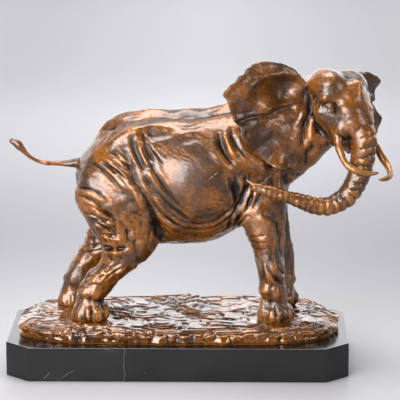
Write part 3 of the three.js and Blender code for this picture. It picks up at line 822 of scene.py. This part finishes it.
def bodyFolds(points, normals):
    # each family of folds lies in the flank's plane and shows where the surface faces that side
    x, y, z = points.T
    leaf = np.maximum(onEar(points, earNear), onEar(points, earFar))
    height = np.zeros(len(points))
    for hand in (-1, 1):
        facing = smooth(hand * normals[:, 1], *flankZone["facing"])
        facing = facing * smooth(hand * (y - spineY), *flankZone["aside"])
        clear = (1 - leaf) * smooth(flankZone["front"] - x, 0, 6)
        onTrunk = smooth(-y, *flankZone["trunkOut"]) * smooth(x, *flankZone["trunkAhead"]) if hand < 0 else 0
        mask = facing * clear * (1 - onTrunk)
        chosen = np.flatnonzero(mask > 0.01)
        shift = 0 if hand < 0 else farShift(x[chosen], z[chosen])
        height[chosen] += flankPush(np.column_stack([x[chosen] + shift, z[chosen]])) * mask[chosen]
    # the backbone: a ridge between two gutters, knobbed along its length
    onTop = smooth(normals[:, 2], *backZone["upward"]) * smooth(x, *backZone["rear"])
    onTop = onTop * smooth(backZone["front"] - x, 0, 12) * smooth(z, *backZone["above"])
    off = y - spineY + backbone["off"]
    ridge = bump(off, backbone["width"])
    apart, width = backbone["apart"], backbone["width"]
    gutters = bump(off + apart, width) + bump(off - apart, width)
    knobs = backbone["knobs"] * np.sin(x / backbone["knobLong"])
    height += onTop * (backbone["high"] * ridge - backbone["gutter"] * gutters + knobs * ridge)
    height += backbone["rough"] * onTop * noise(points * (0.3, 1, 1), 3.4, 3.3)
    return height


wrinkles = {  # per leg: one band as low, high, spacing, height and the side it is on, -1 being the rear
    "hindNear": (66, 92, 8.5, 0.5, -1), "hindFar": (90, 124, 7.5, 0.9, -1),
    "foreNear": (104, 128, 6.5, 0.6, -1), "foreFar": (102, 126, 6.5, 0.6, -1),
}
ankle = {  # a sagging cuff over the foot and, under it, the rolls of the toes
    "cuff": 68, "tilt": 2.2, "proud": (1.1, 5.0), "under": (1.0, 7.5, 2.6), "second": (0.4, 12.5, 1.6),
    "toeHeight": 51, "toeWidth": 5, "toeProud": 1.2, "cleft": 2.2, "cleftRate": 2.6, "cleftWidth": 0.22,
}


legZone = {"reach": 1.4, "top": 138}
muscles = [((1, 1, 0.25), 5.5, 3.0, 1.3), ((1, 1, 0.4), 2.8, 7.7, 0.5)]  # stretch, size, shift, height
bandShape = {"tilt": 5, "wander": 3.5, "groove": 0.7, "vary": 0.6}


def legWrinkles(points):
    # round each leg: saw-edged rings that tilt with the angle round it, a cuff over the foot, long muscles
    x, y, z = points.T
    height = np.zeros(len(points))
    for name, leg in legs.items():
        rows = np.vstack([[(groundTop - stance["sunk"], *leg["foot"])], jointsOf(leg)])
        cx, deep, wide = (np.interp(z, rows[:, 0], rows[:, k]) for k in (1, 2, 3))
        lean = smooth(z, groundTop + stance["uprightTo"], rows[-1, 0])
        cy = leg["footY"] + (leg["hipY"] - leg["footY"]) * lean
        dx, dy = (x - cx) / deep, (y - cy) / wide
        near = smooth(legZone["reach"] - np.hypot(dx, dy), 0, 0.15) * smooth(legZone["top"] - z, 0, 14)
        chosen = np.flatnonzero(near > 0.01)
        p, dx, dy, zz = points[chosen], dx[chosen], dy[chosen], z[chosen]
        ahead = dx / np.maximum(np.hypot(dx, dy), 0.01)
        push = sum(tall * noise(p * stretch, size, shift) for stretch, size, shift, tall in muscles)
        low, high, spacing, tall, side = wrinkles[name]
        wander = bandShape["wander"] * noise(p, 11, 5.0)
        turn = (zz + bandShape["tilt"] * side * ahead + wander) / spacing
        saw = turn - np.floor(turn)
        groove = bump(np.minimum(saw, 1 - saw), 0.1)
        shape = smooth(saw, 0, 0.25) * (1 - smooth(saw, 0.25, 1.0)) - bandShape["groove"] * groove
        window = smooth(zz, low - 3, low + 5) * smooth(high - zz, -3, 8) * smooth(side * ahead, -0.35, 0.4)
        push += tall * shape * window * (1 + bandShape["vary"] * noise(p, 9, 1.0))
        sag = zz - ankle["cuff"] + ankle["tilt"] * ahead + 2 * noise(p, 12, 6.0)
        full = 1 + 0.7 * noise(p, 9, 4.0)
        proud, width = ankle["proud"]
        first, second = (a * bump(sag + down, w) for a, down, w in (ankle["under"], ankle["second"]))
        push += full * (proud * bump(sag, width) - first) - second
        cleft = bump(np.sin(ankle["cleftRate"] * np.arctan2(dy, dx) + 0.6), ankle["cleftWidth"])
        roll = bump(zz - ankle["toeHeight"], ankle["toeWidth"])
        push += (ankle["toeProud"] - ankle["cleft"] * cleft) * roll * smooth(ahead, -0.5, 0.1)
        height[chosen] += push * near[chosen]
    return height


faceForms = [  # forward, right, up on the skull, then radius and height, on both sides of the head
    (26, 23.2, 1, 6.0, -1.5), (4, 24, 9, 8, -3.4), (13, 25, -3, 6, 2.2), (19, 24, 9, 4.5, 1.6),
    (6, 25.5, -4, 5, 1.4), (24, 18, -11, 6, -1.2), (6, 20, -21, 6, -1.2), (31, 12, 8, 5, -1.4),
    (25, 3, 27, 5, -0.8),
]


def faceHollows(points):
    # bells of depth at named places on the skull
    height = np.zeros(len(points))
    for forward, out, up, radius, tall in faceForms:
        for hand in (1, -1):
            gap = np.linalg.norm(points - onSkull(forward, out * hand, up), axis=1)
            height += tall * bump(gap, radius)
    return height


eyeLines = {"at": (24.2, 23.6, 1), "high": 0.2, "spacing": 0.8, "wander": 5, "behind": (0.6, 0.8)}


def headSkinLines(points):
    # fine folds behind the eye and over the cheek, as sines of the distance from the eye
    height = np.zeros(len(points))
    forward, out, up = eyeLines["at"]
    aside, back = eyeLines["behind"]
    for hand in (1, -1):
        away = points - onSkull(forward, out * hand, up)
        gap = np.linalg.norm(away * (1, 1, 1.25), axis=1)
        behind = away @ (headRight * hand * aside - headForward * back)
        window = smooth(gap, 6, 9) * smooth(30 - gap, 0, 12)
        lines = np.sin(gap / eyeLines["spacing"] + eyeLines["wander"] * noise(points, 7, 3.0))
        height += eyeLines["high"] * window * lines * smooth(behind, -2, 9)
    return height


calmBelly = {"at": (12, 176), "radius": 34, "share": 0.75}


def toolTexture(points):
    # uneven hand of the modeller at three sizes; calmer on the belly's bulge
    x, y, z = points.T
    (atX, atZ), radius = calmBelly["at"], calmBelly["radius"]
    inside = 1 - smooth(np.hypot((x - atX) / radius, (z - atZ) / radius), 0.5, 1.1)
    calm = 1 - calmBelly["share"] * inside * smooth(np.abs(y - spineY), 20, 30)
    height = sum(high * noise(points * (0.7, 1, 1), size, shift) for size, high, shift in toolMarks)
    return height * calm


eyeShape = {
    "at": (27.2, 24.3, 0.8), "turned": 47, "ball": (2.4, 2.4, 2.0), "sunk": 0.7, "arcSunk": 0.9,
    "arcs": [  # half width, rise, share it starts and stops at, thickness, proud: two lids, brow and bag
        (3.5, 2.4, 0.0, 1.0, 0.95, 1.6), (3.5, -2.1, 0.0, 1.0, 0.85, 1.3),
        (5.7, 4.7, 0.1, 0.9, 0.75, 0.9), (5.5, -4.3, 0.15, 0.9, 0.75, 0.7),
    ],
}


def eyePiece(hand):
    # eyeball, two lids and two folds: arcs centre + width cos a + height sin a, lying on the skull's corner
    forward, out, up = eyeShape["at"]
    centre = onSkull(forward, out * hand, up)
    turned = math.radians(eyeShape["turned"])
    facing = headForward * math.cos(turned) + headRight * hand * math.sin(turned)
    level = -headForward * math.sin(turned) + headRight * hand * math.cos(turned)
    upward = np.array([0, 0, 1])
    parts = [lump(centre - eyeShape["sunk"] * facing, eyeShape["ball"])]
    for half, rise, low, high, thick, proud in eyeShape["arcs"]:
        a = np.pi * np.linspace(low, high, 40)
        line = centre - half * np.cos(a)[:, None] * level + rise * np.sin(a)[:, None] * upward
        line = line + (proud * np.sin(a) - eyeShape["arcSunk"])[:, None] * facing
        size = thick * np.sqrt(np.clip(np.sin(np.linspace(0.06, 0.94, 40) * np.pi), 0.05, 1))
        parts.append(loft(line, size, size, size, sides=14, side=facing))
    return parts


def tuskCollar(hand):
    # the flap of skin a tusk comes out of: a short sleeve round its first stretch
    collar = tusk["collar"]
    path = tuskPath(hand)[:collar["steps"]]
    size = collar["size"] - collar["narrowing"] * smooth(np.linspace(0, 1, collar["steps"]), 0.3, 1)
    return loft(path, size, size, size, sides=tusk["sides"], side=(0, 0, 1))


# the casting put together
build = {
    "massVoxel": 2.2, "fineVoxel": 0.72, "massRelax": 9, "triangles": 196000,
    "reliefRounds": 9, "flatterThin": 0.7,
}


def coarseElephant():
    # the big masses fused into one skin, whose joins are then softened
    parts = [bodyMass(), neckMass(), headMass(), *headLumps(), trunkMass()]
    parts += [legMass(leg) for leg in legs.values()]
    piece = fuse(place("masses", meshFrom("masses", parts)), build["massVoxel"])
    mesh = piece.data
    points = averaged(coordsOf(mesh), edgesOf(mesh), build["massRelax"])
    setCoords(mesh, points)
    setCoords(mesh, points + normalsOf(mesh) * faceHollows(points)[:, None])
    return piece


def fineElephant():
    # the softened masses joined with everything thin or small, fused again much finer
    piece = coarseElephant()
    mesh = piece.data
    parts = [(coordsOf(mesh), [[list(p.vertices) for p in mesh.polygons]])]
    parts += [earLeaf(earNear), earLeaf(earFar), trunkSkin(), *trunkFingers()]
    parts += [tuskSkin(1), tuskSkin(-1), tailSkin()]
    for hand in (1, -1):
        parts += [*eyePiece(hand), tuskCollar(hand)]
    for foot in feet.values():
        parts += toes(*foot)
    whole = place("elephant.bronze", meshFrom("elephant", parts))
    bpy.data.objects.remove(piece)
    return fuse(whole, build["fineVoxel"])


tuskZone = {"ahead": (46, 50), "below": 205}


def sculpt(piece):
    # all the heights added up and pushed along the normals, in two passes so that deep folds stay clean;
    # the tusks stay smooth
    mesh = piece.data
    setCoords(mesh, averaged(coordsOf(mesh), edgesOf(mesh), 2))
    points, normals = coordsOf(mesh), normalsOf(mesh)
    height = bodyFolds(points, normals)
    points = points + normals * height[:, None]
    setCoords(mesh, points)
    height = legWrinkles(points) + headSkinLines(points) + toolTexture(points)
    isTusk = smooth(points @ headForward - headAt @ headForward, *tuskZone["ahead"])
    isTusk = isTusk * smooth(tuskZone["below"] - points[:, 2], 0, 6)
    height = height * (1 - isTusk)
    setCoords(mesh, points + normalsOf(mesh) * height[:, None])


elephant = fineElephant()
print("elephant fused", len(elephant.data.vertices), "points")
sculpt(elephant)
print("elephant sculpted")


# rocky ground and marble plinth
ground = {
    "halfLong": 139.5, "halfWide": 62.5, "squareness": 3.4,
    "across": 330, "deep": 150, "wallRows": 30,
    "floor": marbleTop + 0.3, "inside": ((-80, -12), (80, 12)), "lip": (0.9, 0.93, 0.035), "rounding": 2.6,
    "wander": (0.012, 0.007), "facets": (2.4, 11), "facetShare": 1.3,
    "rough": (0.6, 4.4), "fine": (0.25, 1.9), "reliefRounds": 4, "reliefGain": 1.2,
}


rock = {
    "below": 1.0, "warp": 2.5, "plates": (3.0, 15), "plateRise": 0.9, "slow": (0.4, 26), "streak": (0.2, 5.2),
    "fine": (0.1, 2.2), "crack": (1.6, 0.32, 0.11), "ledgeEvery": 13, "ledgeRise": 1.0,
    "footSpace": 7, "footDip": 1.4, "footRim": (0.7, 0.14),
}


def groundTopHeight(flat):
    # flat slabs with short ledges, faint streaks along X, cracks, long ledges and a dip at each foot
    x, y = flat[:, 0], flat[:, 1]
    level3 = np.stack([x, y, 0 * x], -1)
    flow = np.stack([x * 0.7 + 0.2 * y, y * 0.85, 0 * x + 3], -1)
    warp = rock["warp"] * noise(level3, 17, 4.0)
    streakHigh, streakSize = rock["streak"]
    fineHigh, fineSize = rock["fine"]
    streaks = noise(flow + warp[:, None], streakSize, 1.3)
    fine = noise(flow + warp[:, None], fineSize, 6.1)
    # plates: a slow noise cut into steps, so that flat slabs meet at short ledges
    steps, plateSize = rock["plates"]
    plate = steps * noise(flow + 0.8 * warp[:, None], plateSize, 9.2)
    level = np.floor(plate) + smooth(plate - np.floor(plate), 0.4, 0.54)
    slowHigh, slowSize = rock["slow"]
    z = groundTop - rock["below"] + rock["plateRise"] * level + slowHigh * noise(flow, slowSize, 3.2)
    z = z + streakHigh * streaks + fineHigh * fine
    crack = noise(np.stack([x * 0.5, y, 0 * x], -1) + 3 * warp[:, None], 6.5, 12.7)
    deep, at, width = rock["crack"]
    z = z - deep * bump(crack - at, width) * smooth(noise(level3, 26, 2.2), -0.2, 0.3)
    ledge = (y + 9 * np.sin(x / 31 + 1.2) + 5 * warp) / rock["ledgeEvery"]
    saw = ledge - np.floor(ledge)
    ledges = rock["ledgeRise"] * smooth(saw, 0.0, 0.08) * (1 - smooth(saw, 0.1, 0.9))
    z = z + ledges * smooth(noise(flow, 15, 5.5), -0.1, 0.4)
    space = rock["footSpace"]
    rim, rimWidth = rock["footRim"]
    for fx, fy, ahead, out, _ in feet.values():
        away = np.hypot((x - fx) / (ahead + space), (y - fy) / (out + space))
        clear = smooth(away, 0.6, 1.25)
        z = z * clear + (groundTop - rock["footDip"]) * (1 - clear) + rim * bump(away - 1.3, rimWidth)
    return z


def makeGround():
    # square grid pressed into a superellipse: the top is a height field with a low lip at its edge, and
    # rows run from it down a wavering wall to a flat base
    nx, ny = ground["across"], ground["deep"]
    u, v = np.meshgrid(np.linspace(-1, 1, nx), np.linspace(-1, 1, ny), indexing="ij")
    square = np.maximum(np.abs(u), np.abs(v))
    p = ground["squareness"]
    round2 = (np.abs(u) ** p + np.abs(v) ** p) ** (1 / p)
    ratio = np.where(square > 0, square / np.maximum(round2, 1e-9), 1)
    flat = np.stack([u * ratio * ground["halfLong"], v * ratio * ground["halfWide"]], -1).reshape(-1, 2)
    angle = np.arctan2(flat[:, 1] / ground["halfWide"], flat[:, 0] / ground["halfLong"])
    rim3 = np.stack([90 * np.cos(angle), 45 * np.sin(angle), 0 * angle], -1)
    slow, quick = ground["wander"]
    wander = 1 + slow * noise(rim3, 20, 3.1) + quick * noise(rim3, 7, 1.4)
    flat = flat * (1 + (wander - 1) * square.ravel() ** 3)[:, None]
    z = groundTopHeight(flat)
    rounding = smooth(square.ravel(), 0.90, 1.0)
    lip, at, width = ground["lip"]
    z = z + lip * bump(square.ravel() - at, width) - ground["rounding"] * rounding ** 2
    top = np.column_stack([flat, z])
    index = np.arange(nx * ny).reshape(nx, ny)
    loop = np.concatenate([index[:-1, 0], index[-1, :-1], index[:0:-1, -1], index[0, :0:-1]])
    rimPoints = top[loop]
    rows, count = ground["wallRows"], len(loop)
    drop = np.linspace(0, 1, rows + 1)[1:, None]
    base = ground["floor"]
    height = rimPoints[None, :, 2] * (1 - drop) + base * drop
    # the wall swells by a few millimetres just under the rim and tucks in at the marble
    swell = 2.0 * smooth(drop, -0.06, 0.2) - 1.4 * smooth(drop, 0.7, 1.0)
    outward = unit(rimPoints[:, :2] - np.clip(rimPoints[:, :2], *ground["inside"]))
    wall = np.concatenate([np.broadcast_to(rimPoints[None, :, :2], (rows, count, 2)), height[..., None]], -1)
    around = wall.reshape(-1, 3)
    taller = around * (1, 1, 1.3)
    facets, facetSize = ground["facets"]
    high, size = ground["rough"]
    fineHigh, fineSize = ground["fine"]
    facet = facets * noise(taller, facetSize, 2.4)
    rough = ground["facetShare"] * (np.abs(facet) - 0.5) + high * noise(taller, size, 5.9)
    rough = rough + fineHigh * noise(around, fineSize, 9.9)
    push = swell * np.ones((1, count)) + rough.reshape(rows, count) * smooth(drop, 0, 0.12)
    wall[..., :2] += outward[None] * push[..., None]
    wall[-1, :, 2] = base
    points = np.vstack([top, wall.reshape(-1, 3), [[0, 0, base]]])
    i, j = np.meshgrid(np.arange(nx - 1), np.arange(ny - 1), indexing="ij")
    corners = [index[i, j], index[i + 1, j], index[i + 1, j + 1], index[i, j + 1]]
    quads = np.stack(corners, -1).reshape(-1, 4)
    levels = np.vstack([loop, nx * ny + np.arange(rows * count).reshape(rows, count)])
    after = np.roll(levels, -1, axis=1)
    sides = np.stack([levels[:-1], levels[1:], after[1:], after[:-1]], -1).reshape(-1, 4)
    last = np.full(count, len(points) - 1)
    fan = np.stack([last, after[-1], levels[-1]], -1)
    return meshFrom("ground", [(points, [quads.tolist(), sides.tolist(), fan.tolist()])])


plinth = {"corner": 20, "rounding": 0.9, "steps": 5}


def makePlinth():
    # an oblong with cut corners, each level pulled in by a quarter circle at the top and bottom arris
    turnIn = np.linspace(0, np.pi / 2, plinth["steps"])
    r = plinth["rounding"]
    inset = np.concatenate([r * (1 - np.sin(turnIn)), r * (1 - np.cos(turnIn))])
    low, high = plinthLow[2] + r * (1 - np.cos(turnIn)), plinthHigh[2] - r * (1 - np.sin(turnIn))
    rise = np.concatenate([low, high])
    half = plinthHigh[:2]
    rings = []
    for pull, z in zip(inset, rise):
        x, y = half - pull
        cut = plinth["corner"] - pull * (2 - math.sqrt(2))
        quarter = [(x, y - cut), (x - cut, y), (-x + cut, y), (-x, y - cut)]
        rings.append([(cx, cy, z) for cx, cy in quarter + [(-cx, -cy) for cx, cy in quarter]])
    rings = np.array(rings, float)
    return meshFrom("plinth", [skin(rings)])


# the skin's relief, stored on the mesh for the patina, its gold crests and the painted shade in its creases
reliefScale = {"fineDeep": 0.1, "wideDeep": 1.1, "wider": 10}


def storeRelief(mesh, rounds, gain):
    # how far the neighbours' mean stands above a point, at two sizes: from -1 on crests to +1 in creases,
    # times the gain
    points, normals = coordsOf(mesh), normalsOf(mesh)
    edges = edgesOf(mesh)
    fine = averaged(points, edges, rounds)
    wide = averaged(fine, edges, reliefScale["wider"] * rounds)
    small = ((fine - points) * normals).sum(1)
    large = ((wide - points) * normals).sum(1)
    small = np.clip(small / reliefScale["fineDeep"], -1, 1)
    large = np.clip(large / reliefScale["wideDeep"], -1, 1)
    value = gain * (small * 0.5 + large * 0.5)
    layer = mesh.attributes.new("relief", "FLOAT", "POINT")
    layer.data.foreach_set("value", averaged(value, edges, 1).astype(np.float32))


# node trees
class Graph:
    # one node tree; inputs go by name or number and are either values or other nodes' outputs
    def __init__(self, tree):
        self.tree = tree

    def put(self, node, inputs):
        for socket, value in inputs.items():
            if isinstance(value, bpy.types.NodeSocket):
                self.tree.links.new(value, node.inputs[socket])
            else:
                node.inputs[socket].default_value = value

    def add(self, kind, inputs, **settings):
        node = self.tree.nodes.new("ShaderNode" + kind)
        for key, value in settings.items():
            setattr(node, key, value)
        self.put(node, inputs)
        return node

    def noise(self, coords, scale, detail, rough):
        inputs = {"Vector": coords, "Scale": scale, "Detail": detail, "Roughness": rough}
        return self.add("TexNoise", inputs).outputs["Fac"]

    def ranged(self, value, fromLow, fromHigh, toLow, toHigh):
        inputs = {"Value": value, 1: fromLow, 2: fromHigh, 3: toLow, 4: toHigh}
        return self.add("MapRange", inputs).outputs["Result"]

    def maths(self, operation, *values):
        return self.add("Math", dict(enumerate(values)), operation=operation).outputs[0]

    def mix(self, factor, first, second, blend="MIX"):
        first, second = ((*v, 1) if isinstance(v, tuple) else v for v in (first, second))
        inputs = {0: factor, 6: first, 7: second}
        return self.add("Mix", inputs, data_type="RGBA", blend_type=blend).outputs[2]

    def ramp(self, value, stops):
        node = self.add("ValToRGB", {"Fac": value})
        node.color_ramp.interpolation = "EASE"
        while len(node.color_ramp.elements) < len(stops):
            node.color_ramp.elements.new(0.5)
        for element, (at, colour) in zip(node.color_ramp.elements, stops):
            element.position = at
            element.color = (*colour, 1)
        return node.outputs["Color"]

    def spot(self, kind="Object"):
        return self.add("TexCoord", {}).outputs[kind]

    def split(self, coords):
        return self.add("SeparateXYZ", {0: coords}).outputs


def newMaterial(name):
    material = bpy.data.materials.new(name)
    material.use_nodes = True
    return material, Graph(material.node_tree), material.node_tree.nodes["Principled BSDF"]


# crease is the near black laid in the creases: the patina's darker hollows, with painted shade over them
patina = {
    "orange": (0.195, 0.064, 0.004), "umber": (0.040, 0.0155, 0.0045), "crease": (0.006, 0.0032, 0.0021),
    "gold": (0.32, 0.135, 0.032), "combTurn": (0, 0.65, 0), "combStretch": (6, 1, 1),
    "cloud": (38, 3, 0.55), "speckle": (420, 4, 0.6),  # a noise is its scale, detail and roughness
    "grain": (900, 3, 0.55), "comb": (480, 2, 0.5), "grainDeep": 0.00035, "combDeep": 0.0008,
    "ior": 1.55, "coat": 0.3, "coatRoughness": 0.16,
}


def bronzeMaterial(name, roughLow, roughHigh, marks):
    # clouds of orange and umber, speckled; near black in creases (the patina's dark hollows, with painted
    # shade) and gold on crests, by the stored relief
    material, graph, shader = newMaterial(name)
    coords = graph.spot()
    relief = graph.add("Attribute", {}, attribute_name="relief").outputs["Fac"]
    cloud = graph.noise(coords, *patina["cloud"])
    colour = graph.mix(graph.ranged(cloud, 0.36, 0.62, 0, 0.95), patina["orange"], patina["umber"])
    speckles = graph.ranged(graph.noise(coords, *patina["speckle"]), 0.35, 0.7, 0.5, 1.3)
    colour = graph.mix(1.0, colour, speckles, "MULTIPLY")
    # painted shade: towards near black in the creases, over the patina's own darker hollows
    colour = graph.mix(graph.ranged(relief, 0.04, 0.62, 0, 0.95), colour, patina["crease"])
    colour = graph.mix(graph.ranged(relief, -0.62, -1.0, 0, 0.42), colour, patina["gold"])
    # bare metal on the crests; in the creases metal too, near black, so that they give back no white sheen:
    # painted shade
    bareCrest = graph.ranged(relief, -0.65, -1.0, 0.24, 0.36)
    creaseShadeMetallic = graph.ranged(relief, 0.2, 0.9, 0, 0.6)
    polish = graph.ranged(cloud, 0.3, 0.7, roughLow, roughHigh)
    grime = graph.ranged(relief, 0.1, 0.8, 0.0, 0.4)
    # two bumps: grain all over, and fine combed strokes that run down and forward
    grain = graph.add("Bump", {
        "Strength": 0.7 * marks, "Distance": patina["grainDeep"],
        "Height": graph.noise(coords, *patina["grain"])})
    combInputs = {"Vector": coords, "Rotation": patina["combTurn"], "Scale": patina["combStretch"]}
    combed = graph.add("Mapping", combInputs, vector_type="TEXTURE").outputs["Vector"]
    comb = graph.add("Bump", {
        "Strength": 0.55 * marks, "Distance": patina["combDeep"],
        "Height": graph.noise(combed, *patina["comb"]),
        "Normal": grain.outputs["Normal"]})
    graph.put(shader, {
        "Base Color": colour, "Metallic": graph.maths("ADD", bareCrest, creaseShadeMetallic),
        "Roughness": graph.maths("ADD", polish, grime), "IOR": patina["ior"], "Coat Weight": patina["coat"],
        "Coat Roughness": patina["coatRoughness"], "Normal": comb.outputs["Normal"]})
    return material


marble = {
    "dark": (0.0028, 0.0028, 0.0032), "lighter": (0.007, 0.0068, 0.0075), "fleck": (0.28, 0.27, 0.26),
    "pale": (0.30, 0.29, 0.29), "ior": 1.45, "wander": 0.003, "fade": 0.002, "strength": 0.35,
    "veins": [  # place along the plinth, lean, lowest and highest height, width
        (-0.047, 0.02, -0.01, 0.04, 0.00022), (-0.118, 0.7, 0.001, 0.009, 0.00035),
        (-0.106, 1.6, 0.0, 0.011, 0.0003), (0.012, -2.5, 0.026, 0.031, 0.0003),
    ],
}


def veinNode(graph, coords, at, lean, low, high, width):
    # a thin wavering line: |x - lean z + wander - at| less than width, between two heights
    parts = graph.split(coords)
    leaning = graph.maths("MULTIPLY_ADD", parts["Z"], -lean, parts["X"])
    unsteady = graph.noise(coords, 60, 3, 0.6)
    wander = graph.ranged(unsteady, 0.2, 0.8, -marble["wander"] - at, marble["wander"] - at)
    away = graph.maths("ABSOLUTE", graph.maths("ADD", leaning, wander))
    line = graph.ranged(away, 0.3 * width, width, marble["strength"], 0)
    under = graph.ranged(parts["Z"], high - marble["fade"], high, 1, 0)
    over = graph.ranged(parts["Z"], low, low + marble["fade"], 0, 1)
    return graph.maths("MULTIPLY", graph.maths("MULTIPLY", line, under), over)


def marbleMaterial():
    material, graph, shader = newMaterial("marble")
    coords = graph.spot()
    cloud = graph.noise(coords, 24, 4, 0.6)
    colour = graph.mix(graph.ranged(cloud, 0.3, 0.75, 0, 1), marble["dark"], marble["lighter"])
    flecks = graph.ranged(graph.noise(coords, 520, 2, 0.5), 0.76, 0.80, 0, 0.5)
    colour = graph.mix(flecks, colour, marble["fleck"])
    for vein in marble["veins"]:
        colour = graph.mix(veinNode(graph, coords, *vein), colour, marble["pale"])
    polish = graph.ranged(cloud, 0.3, 0.7, 0.13, 0.2)
    graph.put(shader, {"Base Color": colour, "Roughness": polish, "IOR": marble["ior"]})
    return material


# the three pieces
elephant.data.materials.clear()
elephant.data.materials.append(bronzeMaterial("bronze", 0.2, 0.33, 1.0))
skinPoints = coordsOf(elephant.data)
thinHere = np.maximum(onEar(skinPoints, earNear), onEar(skinPoints, earFar))
thinHere = np.maximum(thinHere, smooth(tail["start"][0] - 2 - skinPoints[:, 0], 0, 4))
storeRelief(elephant.data, build["reliefRounds"], 1 - build["flatterThin"] * thinHere)
thin(elephant, build["triangles"])
elephant.data.shade_smooth()
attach(elephant, "root")
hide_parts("elephant")
print("elephant", len(elephant.data.polygons), "faces")

bed = place("elephant.ground", makeGround())
bed.data.shade_smooth()
bed.data.materials.append(bronzeMaterial("groundBronze", 0.11, 0.18, 0.15))
storeRelief(bed.data, ground["reliefRounds"], ground["reliefGain"])
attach(bed, "root")
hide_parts("elephant")
print("ground", len(bed.data.polygons), "faces")

stone = place("plinth.marble", makePlinth())
stone.data.materials.append(marbleMaterial())
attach(stone, "root")
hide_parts("plinth")
print("plinth", len(stone.data.polygons), "faces")

# lights, in metres: place, what they face, size, power and colour
lightsAt = (0, 0, 0.15)
lights = {
    "overhead": ((-0.05, 0.15, 1.5), (1.2, 0.8), 36, (1, 0.97, 0.96)),
    "left": ((-1.1, -1.65, 0.72), (1.7, 1.35), 116, (1, 0.955, 0.93)),
    "right": ((1.55, -1.1, 0.7), (0.45, 1.2), 14, (0.98, 0.99, 1)),
}
for name, (spot, size, power, colour) in lights.items():
    data = bpy.data.lights.new(name, "AREA")
    data.shape = "RECTANGLE"
    data.size, data.size_y = size
    data.energy = power
    data.color = colour
    lamp = place(name, data)
    lamp.location = Vector(spot)
    lamp.rotation_euler = (Vector(lightsAt) - Vector(spot)).to_track_quat("-Z", "Y").to_euler()

# the paper's tones and its darkening aside are painted light and shade, a falloff of the studio light
paper = {
    "half": 6, "front": -0.4, "rear": 2.6, "roughness": 0.55, "aside": (0.03, 0.30, 1.12, 0.86),
    "tones": [  # painted light and shade: pale in front, a soft band of painted shade behind the plinth, painted paler again far back
        (0, (0.272, 0.275, 0.287)), (0.17, (0.268, 0.271, 0.285)), (0.28, (0.198, 0.203, 0.22)),
        (0.6, (0.55, 0.56, 0.59)), (1, (0.84, 0.85, 0.89)),
    ],
}


def makeFloor():
    h = paper["half"]
    mesh = bpy.data.meshes.new("floor")
    mesh.from_pydata([(-h, -h, 0), (h, -h, 0), (h, h, 0), (-h, h, 0)], [], [(0, 1, 2, 3)])
    floor = place("floor", mesh)
    material, graph, shader = newMaterial("paper")
    parts = graph.split(graph.spot())
    # painted light and shade on the paper: a ramp from front to back, darkened towards the sides
    depth = graph.ranged(parts["Y"], paper["front"], paper["rear"], 0, 1)
    fall = graph.ranged(graph.maths("ABSOLUTE", parts["X"]), *paper["aside"])
    tone = graph.mix(1.0, graph.ramp(depth, paper["tones"]), fall, "MULTIPLY")
    graph.put(shader, {"Base Color": tone, "Roughness": paper["roughness"]})
    mesh.materials.append(material)


makeFloor()

studio = {
    "tones": [(0, (0.08, 0.08, 0.087)), (0.5, (0.28, 0.285, 0.30)), (1, (2.3, 2.3, 2.36))],
    "frontToBack": (-0.6, 0.8, 0.0, 1.0), "upward": (0.25, 0.8, 1.0, 0.3),
}


def makeWorld():
    # pale all round, brightest low down behind the object and dimmer in front
    world = bpy.data.worlds.new("studio")
    world.use_nodes = True
    graph = Graph(world.node_tree)
    parts = graph.split(graph.spot("Generated"))
    colour = graph.ramp(graph.ranged(parts["Y"], *studio["frontToBack"]), studio["tones"])
    colour = graph.mix(1.0, colour, graph.ranged(parts["Z"], *studio["upward"]), "MULTIPLY")
    graph.put(world.node_tree.nodes["Background"], {"Color": colour, "Strength": 1.0})
    bpy.context.scene.world = world


makeWorld()
bpy.context.scene.view_settings.view_transform = "Standard"
